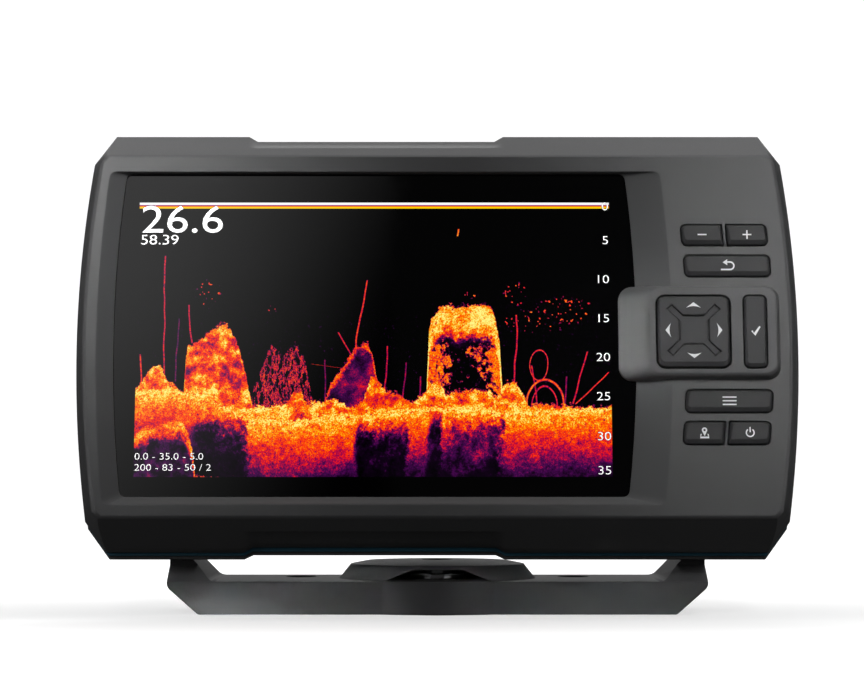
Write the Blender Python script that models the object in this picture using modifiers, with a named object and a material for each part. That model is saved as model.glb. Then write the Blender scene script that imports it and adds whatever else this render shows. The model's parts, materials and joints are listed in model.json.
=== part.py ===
"""Dash fish finder: a 7-inch sonar display head on a tilt-and-swivel bail bracket.

World frame in metres: +Z up, +X to the right of a person facing the screen, -Y towards that
person. The origin is on the swivel axis at the underside of the swivel base. The head is
modelled in its own face frame (x right, y backwards from the face plane, z up the face) and is
carried by an empty on the tilt axis, which leans it back.
"""
import bpy
import bmesh
from math import cos, pi, radians, sin, sqrt, tan
from mathutils import Matrix, Vector

MM = 0.001
GAP = 0.3 * MM                      # air left between two pieces that touch
PAST = 1 * MM                       # how far a cutter runs past what it cuts

# --- stance -----------------------------------------------------------------------------
HEAD_LEAN = radians(9.0)            # how far the face leans back from upright
PIVOT_Y = 8.0 * MM                  # tilt axis behind the swivel axis
HEAD_ROOM = 24.0 * MM               # height of the tilt axis above half the face
PIVOT_BEHIND_FACE = 38.0 * MM
FACE_ABOVE_PIVOT = 2.1 * MM         # middle of the face above the tilt axis

# --- head outline, in the face frame ----------------------------------------------------
FACE_HALF_WIDTH = 114.4 * MM        # at mid height, where the sides bow out
FACE_HALF_HEIGHT = 59.7 * MM
PIVOT_Z = HEAD_ROOM + FACE_HALF_HEIGHT   # tilt axis above the mounting surface
FACE_CORNER = 1.9 * MM
SIDE_BOW = 4.4 * MM                 # how much the sides bow out between their ends
SIDE_FLARE = 4.6 * MM               # widest outline beyond the face outline
TOP_RISE = 10.6 * MM                # upper chamfer, from the face edge up to the widest outline
BOTTOM_DROP = 9.6 * MM              # lower chamfer
CORNER_CUT_X = 7.2 * MM             # chamfered corners of the widest outline
CORNER_CUT_Z = 9.8 * MM
CHAMFER_DEPTH = 14.5 * MM
BEZEL_DEPTH = 17.0 * MM
BEZEL_WALL = 2.4 * MM
SIDE_POINTS = 5

# --- recess in the upper and lower chamfers ---------------------------------------------
NOTCH_X = -20.5 * MM                # centred on the screen
NOTCH_HALF_WIDTH = 39.6 * MM
NOTCH_FLARE = 2.9 * MM
NOTCH_START = 6.0 * MM              # depth behind the face where the recess begins
NOTCH_DEPTH = 1.7 * MM

# --- seam between bezel and rear housing ------------------------------------------------
TRIM_THICKNESS = 1.2 * MM
TRIM_STEP = 0.9 * MM                # each ring of the seam stands this much lower below
TRIM_WIDTH = 2.6 * MM
SEAL_WIDTH = 1.6 * MM
LIP_THICKNESS = 2.2 * MM
SEAM_JOG = 1.4 * MM

# --- screen opening and what lies behind it ---------------------------------------------
GLASS_LEFT = -105.3 * MM
GLASS_RIGHT = 64.7 * MM
GLASS_TOP = 54.0 * MM
GLASS_BOTTOM = -53.0 * MM
GLASS_BOW = 3.2 * MM
GLASS_CORNER = 2.2 * MM
POCKET_DEPTH = 2.0 * MM
BEVEL_LEFT = 5.3 * MM
BEVEL_RIGHT = 11.4 * MM
BEVEL_BOTTOM = 2.7 * MM
BEVEL_TOP = 0.2 * MM
GLASS_THICKNESS = 1.5 * MM
GLASS_HOLD = 2.6 * MM               # glass hidden behind the bezel's lip, all round
LCD_X = -20.5 * MM
LCD_Z = -0.6 * MM
LCD_WIDTH = 162.0 * MM
LCD_HEIGHT = 99.0 * MM
LCD_THICKNESS = 5.5 * MM
GASKET_THICKNESS = 1.2 * MM
PAN_WALL = 1.0 * MM
STANDOFF_RADIUS = 3.0 * MM
STANDOFF_LENGTH = 2.4 * MM
BOARD_THICKNESS = 1.6 * MM
BOARD_WIDTH = 140.0 * MM
BOARD_HEIGHT = 78.0 * MM
STANDOFF_INSET = 8.0 * MM
BOARD_CORNER = 3.0 * MM
SHIELD_HALF_WIDTH = 22.0 * MM
SHIELD_HALF_HEIGHT = 14.0 * MM
SHIELD_DEPTH = 6.0 * MM
SHIELD_FROM_WALL = 6.5 * MM          # gap between the shield and the housing's left wall
SHIELD_RISE = 12.0 * MM
COIL_RADIUS = 9.5 * MM
COIL_DEPTH = 8.0 * MM
COIL_FROM_MIDDLE = (18.0 * MM, 14.0 * MM)
BEEPER_RADIUS = 6.0 * MM
BEEPER_DEPTH = 5.0 * MM
BEEPER_FROM_MIDDLE = (46.0 * MM, -22.0 * MM)
CAN_EDGE = 0.8 * MM                  # bevelled edges of the shield, coil and beeper

# --- keypad -----------------------------------------------------------------------------
KEY_LEFT = 80.7 * MM
KEY_RIGHT = 109.1 * MM
KEY_BOW_RADIUS = 350.0 * MM         # the key column bows like the side of the head
KEY_BOW_Z = 2.5 * MM
KEY_SPLIT = 93.4 * MM               # middle of the rib between paired keys
KEY_RIB = 0.9 * MM
KEY_CORNER = 2.0 * MM
KEY_RIB_CORNER = 0.5 * MM            # corners of a pair of keys beside the rib between them
KEY_CLEARANCE = 0.35 * MM
KEY_PROUD = 1.0 * MM
KEY_BEVEL = 0.8 * MM
SMALLEST_CORNER = 0.3 * MM
KEY_FLANGE = 0.3 * MM                # rim behind the wall that keeps the key from falling out
KEY_FLANGE_THICKNESS = 0.7 * MM
KEY_ROOM = 2.1 * MM                 # space behind the keys for their travel
PAD_FLOAT = 1.15 * MM               # space between the pad's rim and the wall, for rocking
KEY_ROWS = (                        # left key, right key or None, top, height
    ("minus_key", "plus_key", 36.6 * MM, 7.5 * MM),
    ("back_key", None, 26.4 * MM, 7.7 * MM),
    ("menu_key", None, -18.2 * MM, 8.0 * MM),
    ("waypoint_key", "power_key", -28.6 * MM, 8.0 * MM),
)
POD_LEFT = 68.0 * MM
POD_RIGHT = 110.0 * MM
POD_TOP = 15.2 * MM
POD_BOTTOM = -14.1 * MM
POD_CORNER = 4.0 * MM
POD_PROUD = 3.1 * MM
POD_SKIRT = 1.2 * MM
POD_WING = 9.2 * MM                 # sloping wing that reaches over the edge of the glass
PAD_LEFT = 70.5 * MM
PAD_TOP = 12.3 * MM
PAD_SIZE = 24.4 * MM
PAD_CORNER = 3.0 * MM
PAD_CLEARANCE = 0.55 * MM
ENTER_LEFT = 98.7 * MM
ENTER_WIDTH = 7.9 * MM
PAD_BOSS_RADIUS = 4.0 * MM
MEMBRANE_THICKNESS = 1.2 * MM
KEYPAD_BOARD_THICKNESS = 1.2 * MM
KEYPAD_LEFT = 69.5 * MM
KEYPAD_RIGHT = 108.6 * MM
KEYPAD_HALF_HEIGHT = 42.0 * MM
KEYPAD_POST_RADIUS = 1.8 * MM

# --- rear housing -----------------------------------------------------------------------
TUB_HALF_WIDTH = 81.5 * MM
TUB_HALF_HEIGHT = 56.0 * MM
TUB_BACK_HALF_WIDTH = 68.0 * MM
TUB_BACK_HALF_HEIGHT = 44.0 * MM
TUB_CORNER = 8.0 * MM
TUB_SIDE_END = 50.0 * MM            # depth where the side walls turn in to the back
HEAD_DEPTH = 56.0 * MM
TUB_WALL = 2.5 * MM
SCREW_COLUMNS = (-98.0 * MM, NOTCH_X, 72.0 * MM)
SCREW_OUT = 0.3 * MM                # from the edge of the face to the screws, up and down
SCREW_RADIUS = 1.25 * MM
SCREW_HEAD_RADIUS = 2.8 * MM
SCREW_HEAD_HEIGHT = 1.8 * MM
SCREW_LENGTH = 12.0 * MM
BOSS_RADIUS = 3.0 * MM
SOCKET_X = 30.0 * MM
SOCKET_Z = -8.0 * MM
SOCKET_RADIUS = 9.5 * MM
SOCKET_BORE = 7.0 * MM
SOCKET_DEPTH = 9.0 * MM
SOCKET_STANDS_OUT = 6.5 * MM
SOCKET_PINS = 8
SOCKET_PIN_RADIUS = 0.5 * MM
SOCKET_PIN_CIRCLE = 4.4 * MM
SOCKET_PIN_REACH = 3.2 * MM

# --- tilt clamp -------------------------------------------------------------------------
STUD_RADIUS = 2.5 * MM
INSERT_RADIUS = 4.6 * MM
INSERT_LENGTH = 9.0 * MM
INSERT_BOSS_RADIUS = 8.0 * MM
FRICTION_DISC_RADIUS = 9.5 * MM
FRICTION_DISC_THICKNESS = 1.1 * MM
KNOB_RADIUS = 15.0 * MM
KNOB_LOBES = 7
KNOB_LOBE_DEPTH = 1.6 * MM
KNOB_THICKNESS = 12.0 * MM
KNOB_COLLAR_RADIUS = 9.0 * MM
KNOB_COLLAR_THICKNESS = 3.0 * MM

# --- bail bracket -----------------------------------------------------------------------
BAIL_ARM_THICKNESS = 5.0 * MM
BAIL_DEPTH = 44.0 * MM
BAIL_HEIGHT = 11.2 * MM             # top of the web
BAIL_LIFT = 0.5 * MM                # underside of the bracket above the mounting surface
BAIL_WALL = 2.5 * MM
BAIL_CORNER_X = 10.2 * MM           # chamfered lower corners
BAIL_CORNER_Z = 8.9 * MM
BAIL_GUSSET = 9.3 * MM              # slanted inner corners between web and arms
BAIL_EYE_RADIUS = 13.0 * MM
BAIL_SHOULDER_Y = -12.0 * MM
BAIL_SHOULDER_Z = 16.2 * MM
BAIL_BULGE_HALF_WIDTH = 18.7 * MM
BAIL_BULGE = 3.0 * MM
BAIL_HOLE_X = 46.0 * MM
BAIL_HOLE_Y = 10.0 * MM
BAIL_HOLE_RADIUS = 2.75 * MM
BAIL_SINK_RADIUS = 5.3 * MM
BAIL_SINK_DEPTH = 1.2 * MM
DOME_FOOT = 33.8 * MM
DOME_SHOULDER = 28.9 * MM
DOME_TOP = 23.4 * MM
DOME_SQUEEZE = 0.62                 # depth of the dome over its width
DOME_SHOULDER_RISE = 4.9 * MM
DOME_TOP_RISE = 6.0 * MM
DOME_CROWN = 0.4 * MM
DOME_WALL = 2.0 * MM
ARCH_HALF_WIDTH = 17.4 * MM
ARCH_TOP_HALF_WIDTH = 8.3 * MM
ARCH_RISE = 3.6 * MM

# --- swivel base ------------------------------------------------------------------------
BASE_RADIUS = 18.8 * MM
HUB_RADIUS = 6.0 * MM
SWIVEL_SCREW_RADIUS = 2.7 * MM
SWIVEL_SCREW_FLOOR = 3.0 * MM       # solid base left under the screw's hole
SWIVEL_HEAD_RADIUS = 4.8 * MM
SWIVEL_HEAD_HEIGHT = 2.6 * MM
WASHER_RADIUS = 9.0 * MM
WASHER_THICKNESS = 1.2 * MM
BASE_HOLES = 3
BASE_HOLE_RADIUS = 2.2 * MM
BASE_HOLE_CIRCLE = 12.6 * MM

# --- depths behind the face plane, worked out from the sizes above ------------------------
GLASS_Y = BEZEL_WALL + GAP
LCD_Y = GLASS_Y + GLASS_THICKNESS + GAP
PAN_Y = LCD_Y + GASKET_THICKNESS + GAP
PAN_FLOOR_Y = LCD_Y + LCD_THICKNESS + GAP
BOARD_Y = PAN_FLOOR_Y + PAN_WALL + STANDOFF_LENGTH + GAP
MEMBRANE_Y = BEZEL_WALL + GAP + KEY_FLANGE_THICKNESS + KEY_ROOM
KEYPAD_BOARD_Y = MEMBRANE_Y + MEMBRANE_THICKNESS + GAP
TRIM_Y = BEZEL_DEPTH + GAP
LIP_Y = TRIM_Y + TRIM_THICKNESS + GAP
TUB_Y = LIP_Y + LIP_THICKNESS
ARM_INNER_X = TUB_HALF_WIDTH + FRICTION_DISC_THICKNESS + 2 * GAP
ARM_OUTER_X = ARM_INNER_X + BAIL_ARM_THICKNESS

# --- materials: colour, roughness, metallic -----------------------------------------------
FINISHES = {
    "head_plastic": ((0.075, 0.075, 0.077), 0.5, 0.0),
    "bail_plastic": ((0.05, 0.05, 0.052), 0.55, 0.0),
    "key_rubber": ((0.06, 0.06, 0.062), 0.55, 0.0),
    "accent_teal": ((0.03, 0.11, 0.15), 0.35, 0.0),
    "screen_glass": ((0.01, 0.01, 0.012), 0.06, 0.0),
    "black_rubber": ((0.02, 0.02, 0.02), 0.8, 0.0),
    "panel_steel": ((0.55, 0.56, 0.58), 0.35, 1.0),
    "circuit_board": ((0.02, 0.16, 0.06), 0.5, 0.0),
    "brass": ((0.78, 0.58, 0.25), 0.3, 1.0),
    "lcd_sheet": ((0.03, 0.03, 0.035), 0.3, 0.0),
}


# ------------------------------------------------------------------------------------------
# scene helpers
# ------------------------------------------------------------------------------------------
def clear_scene():
    for thing in list(bpy.data.objects):
        bpy.data.objects.remove(thing, do_unlink=True)


def new_collection(name):
    group = bpy.data.collections.new(name)
    bpy.context.scene.collection.children.link(group)
    return group


def finish_material(name):
    if name in bpy.data.materials:
        return bpy.data.materials[name]
    colour, roughness, metallic = FINISHES[name]
    material = bpy.data.materials.new(name)
    material.use_nodes = True
    shader = material.node_tree.nodes["Principled BSDF"]
    shader.inputs["Base Color"].default_value = (*colour, 1.0)
    shader.inputs["Roughness"].default_value = roughness
    shader.inputs["Metallic"].default_value = metallic
    return material


def empty(name, location, parent=None, rotation=(0, 0, 0)):
    frame = bpy.data.objects.new(name, None)
    frame.location = location
    frame.rotation_euler = rotation
    frame.parent = parent
    bpy.context.scene.collection.objects.link(frame)
    return frame


def place(name, mesh, finish, parent=None, location=(0, 0, 0), rotation=(0, 0, 0)):
    """A solid piece, or a cutter when it has no finish."""
    piece = bpy.data.objects.new(name, mesh)
    piece.location = location
    piece.rotation_euler = rotation
    piece.parent = parent
    if finish is None:
        CUTTERS.objects.link(piece)
        piece.hide_render = True
        piece.display_type = "WIRE"
    else:
        PARTS.objects.link(piece)
        if not mesh.materials:
            mesh.materials.append(finish_material(finish))
    return piece


def combine(piece, tool, operation="DIFFERENCE"):
    step = piece.modifiers.new(tool.name, "BOOLEAN")
    step.operation = operation
    step.solver = "EXACT"
    step.object = tool


def soften(piece, width, angle=40.0):
    step = piece.modifiers.new("soft edges", "BEVEL")
    step.width = width
    step.segments = 1
    step.limit_method = "ANGLE"
    step.angle_limit = radians(angle)


def face_outwards(bm):
    bmesh.ops.recalc_face_normals(bm, faces=bm.faces)
    if bm.calc_volume(signed=True) < 0:
        bmesh.ops.reverse_faces(bm, faces=bm.faces)


def mesh_from(bm, name):
    face_outwards(bm)
    mesh = bpy.data.meshes.new(name)
    bm.to_mesh(mesh)
    bm.free()
    return mesh


# ------------------------------------------------------------------------------------------
# shapes
# ------------------------------------------------------------------------------------------
def box_mesh(name, low, high):
    bm = bmesh.new()
    bmesh.ops.create_cube(bm, size=1.0)
    size = Vector(high) - Vector(low)
    middle = (Vector(high) + Vector(low)) / 2
    bmesh.ops.scale(bm, vec=size, verts=bm.verts)
    bmesh.ops.translate(bm, vec=middle, verts=bm.verts)
    return mesh_from(bm, name)


def rod_mesh(name, radius, start, end, axis="Y", sides=16, end_radius=None):
    """A cylinder or cone along one axis, from start to end."""
    bm = bmesh.new()
    bmesh.ops.create_cone(bm, cap_ends=True, segments=sides, radius1=radius,
                          radius2=radius if end_radius is None else end_radius,
                          depth=end - start)
    bmesh.ops.translate(bm, vec=(0, 0, (start + end) / 2), verts=bm.verts)
    turn = {"X": Matrix.Rotation(pi / 2, 3, "Y"), "Y": Matrix.Rotation(-pi / 2, 3, "X"),
            "Z": Matrix.Identity(3)}[axis]
    bmesh.ops.rotate(bm, matrix=turn, verts=bm.verts)
    mesh = mesh_from(bm, name)
    mesh.shade_smooth()
    mesh.set_sharp_from_angle(angle=radians(35))
    return mesh


def turned_mesh(name, profile, steps=16, axis="Z"):
    """A turned piece: profile points are (radius, height), running down the outer side."""
    raw = bpy.data.meshes.new(name + " profile")
    points = [(radius, 0, height) for radius, height in profile]
    raw.from_pydata(points, [(i, i + 1) for i in range(len(points) - 1)], [])
    lathe = bpy.data.objects.new(name + " lathe", raw)
    bpy.context.scene.collection.objects.link(lathe)
    step = lathe.modifiers.new("lathe", "SCREW")
    step.steps = steps
    step.render_steps = steps
    step.use_merge_vertices = True
    step.merge_threshold = 0.01 * MM
    bpy.context.view_layer.update()
    mesh = bpy.data.meshes.new_from_object(lathe.evaluated_get(
        bpy.context.evaluated_depsgraph_get()))
    bpy.data.objects.remove(lathe, do_unlink=True)
    bm = bmesh.new()
    bm.from_mesh(mesh)
    bmesh.ops.remove_doubles(bm, verts=bm.verts, dist=0.01 * MM)
    turn = {"X": Matrix.Rotation(pi / 2, 3, "Y"), "Y": Matrix.Rotation(-pi / 2, 3, "X"),
            "Z": Matrix.Identity(3)}[axis]
    bmesh.ops.rotate(bm, matrix=turn, verts=bm.verts)
    face_outwards(bm)
    bm.to_mesh(mesh)
    bm.free()
    mesh.shade_smooth()
    mesh.set_sharp_from_angle(angle=radians(35))
    return mesh


def plate_mesh(name, outlines, start, end, axis="Y"):
    """A flat outline, with any holes in it, extruded from start to end along an axis."""
    curve = bpy.data.curves.new(name + " outline", "CURVE")
    curve.dimensions = "2D"
    curve.fill_mode = "BOTH"
    curve.extrude = (end - start) / 2
    for outline in outlines:
        spline = curve.splines.new("POLY")
        spline.points.add(len(outline) - 1)
        for point, (across, up) in zip(spline.points, outline):
            point.co = (across, up, 0, 1)
        spline.use_cyclic_u = True
    holder = bpy.data.objects.new(name + " outline", curve)
    bpy.context.scene.collection.objects.link(holder)
    bpy.context.view_layer.update()
    mesh = bpy.data.meshes.new_from_object(holder.evaluated_get(
        bpy.context.evaluated_depsgraph_get()))
    bpy.data.objects.remove(holder, do_unlink=True)
    bm = bmesh.new()
    bm.from_mesh(mesh)
    bmesh.ops.remove_doubles(bm, verts=bm.verts, dist=0.005 * MM)
    bmesh.ops.translate(bm, vec=(0, 0, (start + end) / 2), verts=bm.verts)
    along = {"X": ((0, 0, 1), (1, 0, 0), (0, 1, 0)), "Y": ((1, 0, 0), (0, 0, 1), (0, 1, 0)),
             "Z": ((1, 0, 0), (0, 1, 0), (0, 0, 1))}[axis]
    for vertex in bm.verts:
        vertex.co = Vector([sum(row[i] * vertex.co[i] for i in range(3)) for row in along])
    face_outwards(bm)
    bm.to_mesh(mesh)
    bm.free()
    return mesh


def loft_mesh(name, rings):
    """A closed solid through rings of equal length; each ring is (depth, outline)."""
    bm = bmesh.new()
    loops = [[bm.verts.new((x, depth, z)) for x, z in outline] for depth, outline in rings]
    for near, far in zip(loops, loops[1:]):
        for i in range(len(near)):
            j = (i + 1) % len(near)
            bm.faces.new((near[i], near[j], far[j], far[i]))
    bm.faces.new(loops[0])
    bm.faces.new(loops[-1])
    return mesh_from(bm, name)


def rounded(corners, steps=2):
    """Closed outline whose (x, z, radius) corners become arcs of steps + 1 points."""
    outline = []
    count = len(corners)
    for i, (x, z, radius) in enumerate(corners):
        here = Vector((x, z))
        if radius <= 0:
            outline.append((x, z))
            continue
        before = (Vector(corners[i - 1][:2]) - here).normalized()
        after = (Vector(corners[(i + 1) % count][:2]) - here).normalized()
        half = before.angle(after) / 2
        reach = radius / tan(half)
        centre = here + (before + after).normalized() * radius / sin(half)
        start = here + before * reach - centre
        end = here + after * reach - centre
        sweep = start.angle_signed(end)
        for k in range(steps + 1):
            spoke = start.copy()
            spoke.rotate(Matrix.Rotation(-sweep * k / steps, 2))
            outline.append(tuple(centre + spoke))
    return outline


def oblong(left, right, bottom, top, corner=0.0, steps=2):
    return rounded([(left, bottom, corner), (right, bottom, corner),
                    (right, top, corner), (left, top, corner)], steps)


def circle(x, z, radius, sides=16):
    return [(x + radius * cos(2 * pi * i / sides), z + radius * sin(2 * pi * i / sides))
            for i in range(sides)]


# ------------------------------------------------------------------------------------------
# outlines of the head
# ------------------------------------------------------------------------------------------
def head_outline(width, top, bottom, cut_x, cut_z, jog, inset=0.0):
    """The head's outline: bowed sides, cut corners, and a jog in the top and bottom edges."""
    width -= inset
    top -= inset
    bottom -= inset
    end_x = width - SIDE_BOW
    side_top = top - cut_z
    side_bottom = bottom - cut_z
    inner = NOTCH_HALF_WIDTH
    outer = inner + NOTCH_FLARE

    def side(direction):
        points = []
        for i in range(SIDE_POINTS + 2):
            share = i / (SIDE_POINTS + 1)
            z = -side_bottom + share * (side_top + side_bottom)
            swell = 1 - (2 * share - 1) ** 2
            points.append((direction * (end_x + SIDE_BOW * swell), z))
        return points

    lower = [(-end_x + cut_x, -bottom), (NOTCH_X - outer, -bottom), (NOTCH_X - inner, -bottom + jog),
             (NOTCH_X + inner, -bottom + jog), (NOTCH_X + outer, -bottom), (end_x - cut_x, -bottom)]
    upper = [(end_x - cut_x, top), (NOTCH_X + outer, top), (NOTCH_X + inner, top - jog),
             (NOTCH_X - inner, top - jog), (NOTCH_X - outer, top), (-end_x + cut_x, top)]
    return lower + side(1) + upper + side(-1)[::-1]


def face_ring(inset=0.0):
    return head_outline(FACE_HALF_WIDTH, FACE_HALF_HEIGHT, FACE_HALF_HEIGHT,
                        FACE_CORNER, FACE_CORNER, 0.0, inset)


def chamfer_ring(share, jog, inset=0.0):
    """The outline part of the way down the chamfer, from 0 at the face to 1 at its end."""
    rounding = share ** 0.6
    return head_outline(FACE_HALF_WIDTH + SIDE_FLARE * rounding,
                        FACE_HALF_HEIGHT + TOP_RISE * share,
                        FACE_HALF_HEIGHT + BOTTOM_DROP * share,
                        FACE_CORNER + (CORNER_CUT_X - FACE_CORNER) * share,
                        FACE_CORNER + (CORNER_CUT_Z - FACE_CORNER) * share, jog, inset)


def seam_ring(step, inset=0.0):
    """Outline of the trim (step 1) and the rear lip (step 2), which sit a little lower."""
    return head_outline(FACE_HALF_WIDTH + SIDE_FLARE - 0.4 * MM,
                        FACE_HALF_HEIGHT + TOP_RISE - 0.4 * MM,
                        FACE_HALF_HEIGHT + BOTTOM_DROP + TRIM_STEP * step,
                        CORNER_CUT_X, CORNER_CUT_Z, SEAM_JOG, inset)


def glass_outline(grow=0.0, left=0.0, right=0.0, top=0.0, bottom=0.0):
    """The visible glass: bowed at both sides, and bigger by the given margins."""
    low = GLASS_BOTTOM - grow - bottom
    high = GLASS_TOP + grow + top
    corner = GLASS_CORNER

    def side(edge, direction):
        points = []
        for share in (0.0, 0.25, 0.5, 0.75, 1.0):
            swell = 1 - (2 * share - 1) ** 2
            radius = corner if share in (0.0, 1.0) else 0.0
            points.append((edge + direction * GLASS_BOW * (swell - 1), low + share * (high - low),
                           radius))
        return points

    return rounded(side(GLASS_RIGHT + grow + right, 1)
                   + side(GLASS_LEFT - grow - left, -1)[::-1])


def key_bow(z):
    return (z - KEY_BOW_Z) ** 2 / (2 * KEY_BOW_RADIUS)


def key_outline(left, right, top, bottom, corners, inset=0.0, lean=1.0):
    """A key's outline, whose two ends lean with the bow of the key column.

    corners are the radii at its left and right ends.
    """
    left_corner, right_corner = [max(corner - inset, SMALLEST_CORNER) for corner in corners]
    low_shift = lean * key_bow(bottom)
    high_shift = lean * key_bow(top)
    return rounded([(left - low_shift + inset, bottom + inset, left_corner),
                    (right - low_shift - inset, bottom + inset, right_corner),
                    (right - high_shift - inset, top - inset, right_corner),
                    (left - high_shift + inset, top - inset, left_corner)])


def key_sites():
    """Every key: name, left, right, top, bottom, corner radii, face depth, clearance, lean."""
    sites = []
    both = (KEY_CORNER, KEY_CORNER)
    for left_key, right_key, top, height in KEY_ROWS:
        low = top - height
        if right_key is None:
            sites.append((left_key, KEY_LEFT, KEY_RIGHT, top, low, both, 0.0,
                          KEY_CLEARANCE, 1.0))
            continue
        split = KEY_SPLIT + key_bow(top)
        sites.append((left_key, KEY_LEFT, split - KEY_RIB / 2, top, low,
                      (KEY_CORNER, KEY_RIB_CORNER), 0.0, KEY_CLEARANCE, 1.0))
        sites.append((right_key, split + KEY_RIB / 2, KEY_RIGHT, top, low,
                      (KEY_RIB_CORNER, KEY_CORNER), 0.0, KEY_CLEARANCE, 1.0))
    low = PAD_TOP - PAD_SIZE
    sites.append(("enter_key", ENTER_LEFT, ENTER_LEFT + ENTER_WIDTH, PAD_TOP, low, both,
                  -POD_PROUD, KEY_CLEARANCE, 0.0))
    sites.append(("direction_pad", PAD_LEFT, PAD_LEFT + PAD_SIZE, PAD_TOP, low,
                  (PAD_CORNER, PAD_CORNER), -POD_PROUD, PAD_CLEARANCE, 0.0))
    return sites


# ------------------------------------------------------------------------------------------
# pieces of the head
# ------------------------------------------------------------------------------------------
def front_bezel(face):
    start = NOTCH_START / CHAMFER_DEPTH
    shell = loft_mesh("front_bezel", [
        (0.0, face_ring()), (NOTCH_START, chamfer_ring(start, 0.0)),
        (CHAMFER_DEPTH, chamfer_ring(1.0, NOTCH_DEPTH)),
        (BEZEL_DEPTH, chamfer_ring(1.0, NOTCH_DEPTH))])
    bezel = place("front_bezel", shell, "head_plastic", face)
    back = BEZEL_DEPTH + PAST
    hollow = loft_mesh("bezel_hollow", [
        (BEZEL_WALL, face_ring(BEZEL_WALL * 0.8)),
        (CHAMFER_DEPTH, chamfer_ring(1.0, NOTCH_DEPTH, BEZEL_WALL)),
        (back, chamfer_ring(1.0, NOTCH_DEPTH, BEZEL_WALL))])
    combine(bezel, place("bezel_hollow", hollow, None, face))

    def pocket_ring(depth):
        share = 1 - depth / POCKET_DEPTH
        return (depth, glass_outline(0.0, BEVEL_LEFT * share, BEVEL_RIGHT * share,
                                     BEVEL_TOP * share, BEVEL_BOTTOM * share))

    pocket = loft_mesh("screen_pocket", [
        pocket_ring(-PAST), pocket_ring(POCKET_DEPTH), (BEZEL_WALL + PAST, glass_outline())])
    combine(bezel, place("screen_pocket", pocket, None, face))
    combine(bezel, place("control_pod", pod_mesh(), None, face), "UNION")
    for name, left, right, top, low, corners, depth, clearance, lean in key_sites():
        outline = key_outline(left, right, top, low, corners, 0.0, lean)
        well = loft_mesh(name + "_well", [(depth - 2 * PAST, outline), (BEZEL_WALL + PAST, outline)])
        combine(bezel, place(name + "_well", well, None, face))
    for x in (KEYPAD_LEFT + 6 * MM, KEYPAD_RIGHT - 5 * MM):
        for z in (-1, 1):
            post = place("keypad_post", rod_mesh("keypad_post", KEYPAD_POST_RADIUS, BEZEL_WALL / 2,
                                                 MEMBRANE_Y - GAP, sides=8), None, face,
                         (x, 0, z * (KEYPAD_HALF_HEIGHT - KEYPAD_POST_RADIUS)))
            combine(bezel, post, "UNION")
    for x, z in screw_sites():
        boss = place("screw_boss", rod_mesh("screw_boss", BOSS_RADIUS, CHAMFER_DEPTH * 0.45,
                                            BEZEL_DEPTH, sides=12), None, face, (x, 0, z))
        combine(bezel, boss, "UNION")
        bore = place("boss_bore", rod_mesh("boss_bore", SCREW_RADIUS + GAP, screw_tip_y() - GAP,
                                           back, sides=12), None, face, (x, 0, z))
        combine(bezel, bore)
    return bezel


def pod_mesh():
    """Raised block that holds the direction pad, with a wing sloping down over the glass."""
    def ring(grow, wing):
        left = POD_LEFT - wing
        round_left = POD_CORNER + 0.4 * wing
        return rounded([(left, POD_BOTTOM - grow, round_left),
                        (POD_RIGHT + grow, POD_BOTTOM - grow, POD_CORNER),
                        (POD_RIGHT + grow, POD_TOP + grow * 0.4, POD_CORNER),
                        (left, POD_TOP + grow * 0.4, round_left)], 3)

    return loft_mesh("control_pod", [
        (-POD_PROUD, ring(0.0, 0.0)), (POCKET_DEPTH * 0.4, ring(POD_SKIRT, POD_WING)),
        (BEZEL_WALL, ring(POD_SKIRT, POD_WING))])


def display_stack(face):
    glass = plate_mesh("display_window", [glass_outline(GLASS_HOLD)], GLASS_Y,
                       GLASS_Y + GLASS_THICKNESS)
    place("display_window", glass, "screen_glass", face)
    left = LCD_X - LCD_WIDTH / 2
    right = LCD_X + LCD_WIDTH / 2
    low = LCD_Z - LCD_HEIGHT / 2
    high = LCD_Z + LCD_HEIGHT / 2
    hole = oblong(left - GAP, right + GAP, low - GAP, high + GAP)
    gasket = plate_mesh("window_gasket", [glass_outline(GLASS_HOLD), hole], LCD_Y,
                        LCD_Y + GASKET_THICKNESS)
    place("window_gasket", gasket, "black_rubber", face)
    place("lcd_panel", box_mesh("lcd_panel", (left, LCD_Y, low),
                                (right, LCD_Y + LCD_THICKNESS, high)), "lcd_sheet", face)
    wall = PAN_WALL + GAP
    pan = place("lcd_frame", box_mesh("lcd_frame", (left - wall, PAN_Y, low - wall),
                                      (right + wall, PAN_FLOOR_Y + PAN_WALL, high + wall)),
                "panel_steel", face)
    combine(pan, place("lcd_seat", box_mesh(
        "lcd_seat", (left - GAP, PAN_Y - PAST, low - GAP),
        (right + GAP, PAN_FLOOR_Y, high + GAP)), None, face))
    for across in (-1, 1):
        for up in (-1, 1):
            x = LCD_X + across * (BOARD_WIDTH / 2 - STANDOFF_INSET)
            z = LCD_Z + up * (BOARD_HEIGHT / 2 - STANDOFF_INSET)
            standoff = rod_mesh("standoff", STANDOFF_RADIUS, PAN_FLOOR_Y + PAN_WALL / 2,
                                BOARD_Y - GAP, sides=10)
            combine(pan, place("standoff", standoff, None, face, (x, 0, z)), "UNION")


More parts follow.
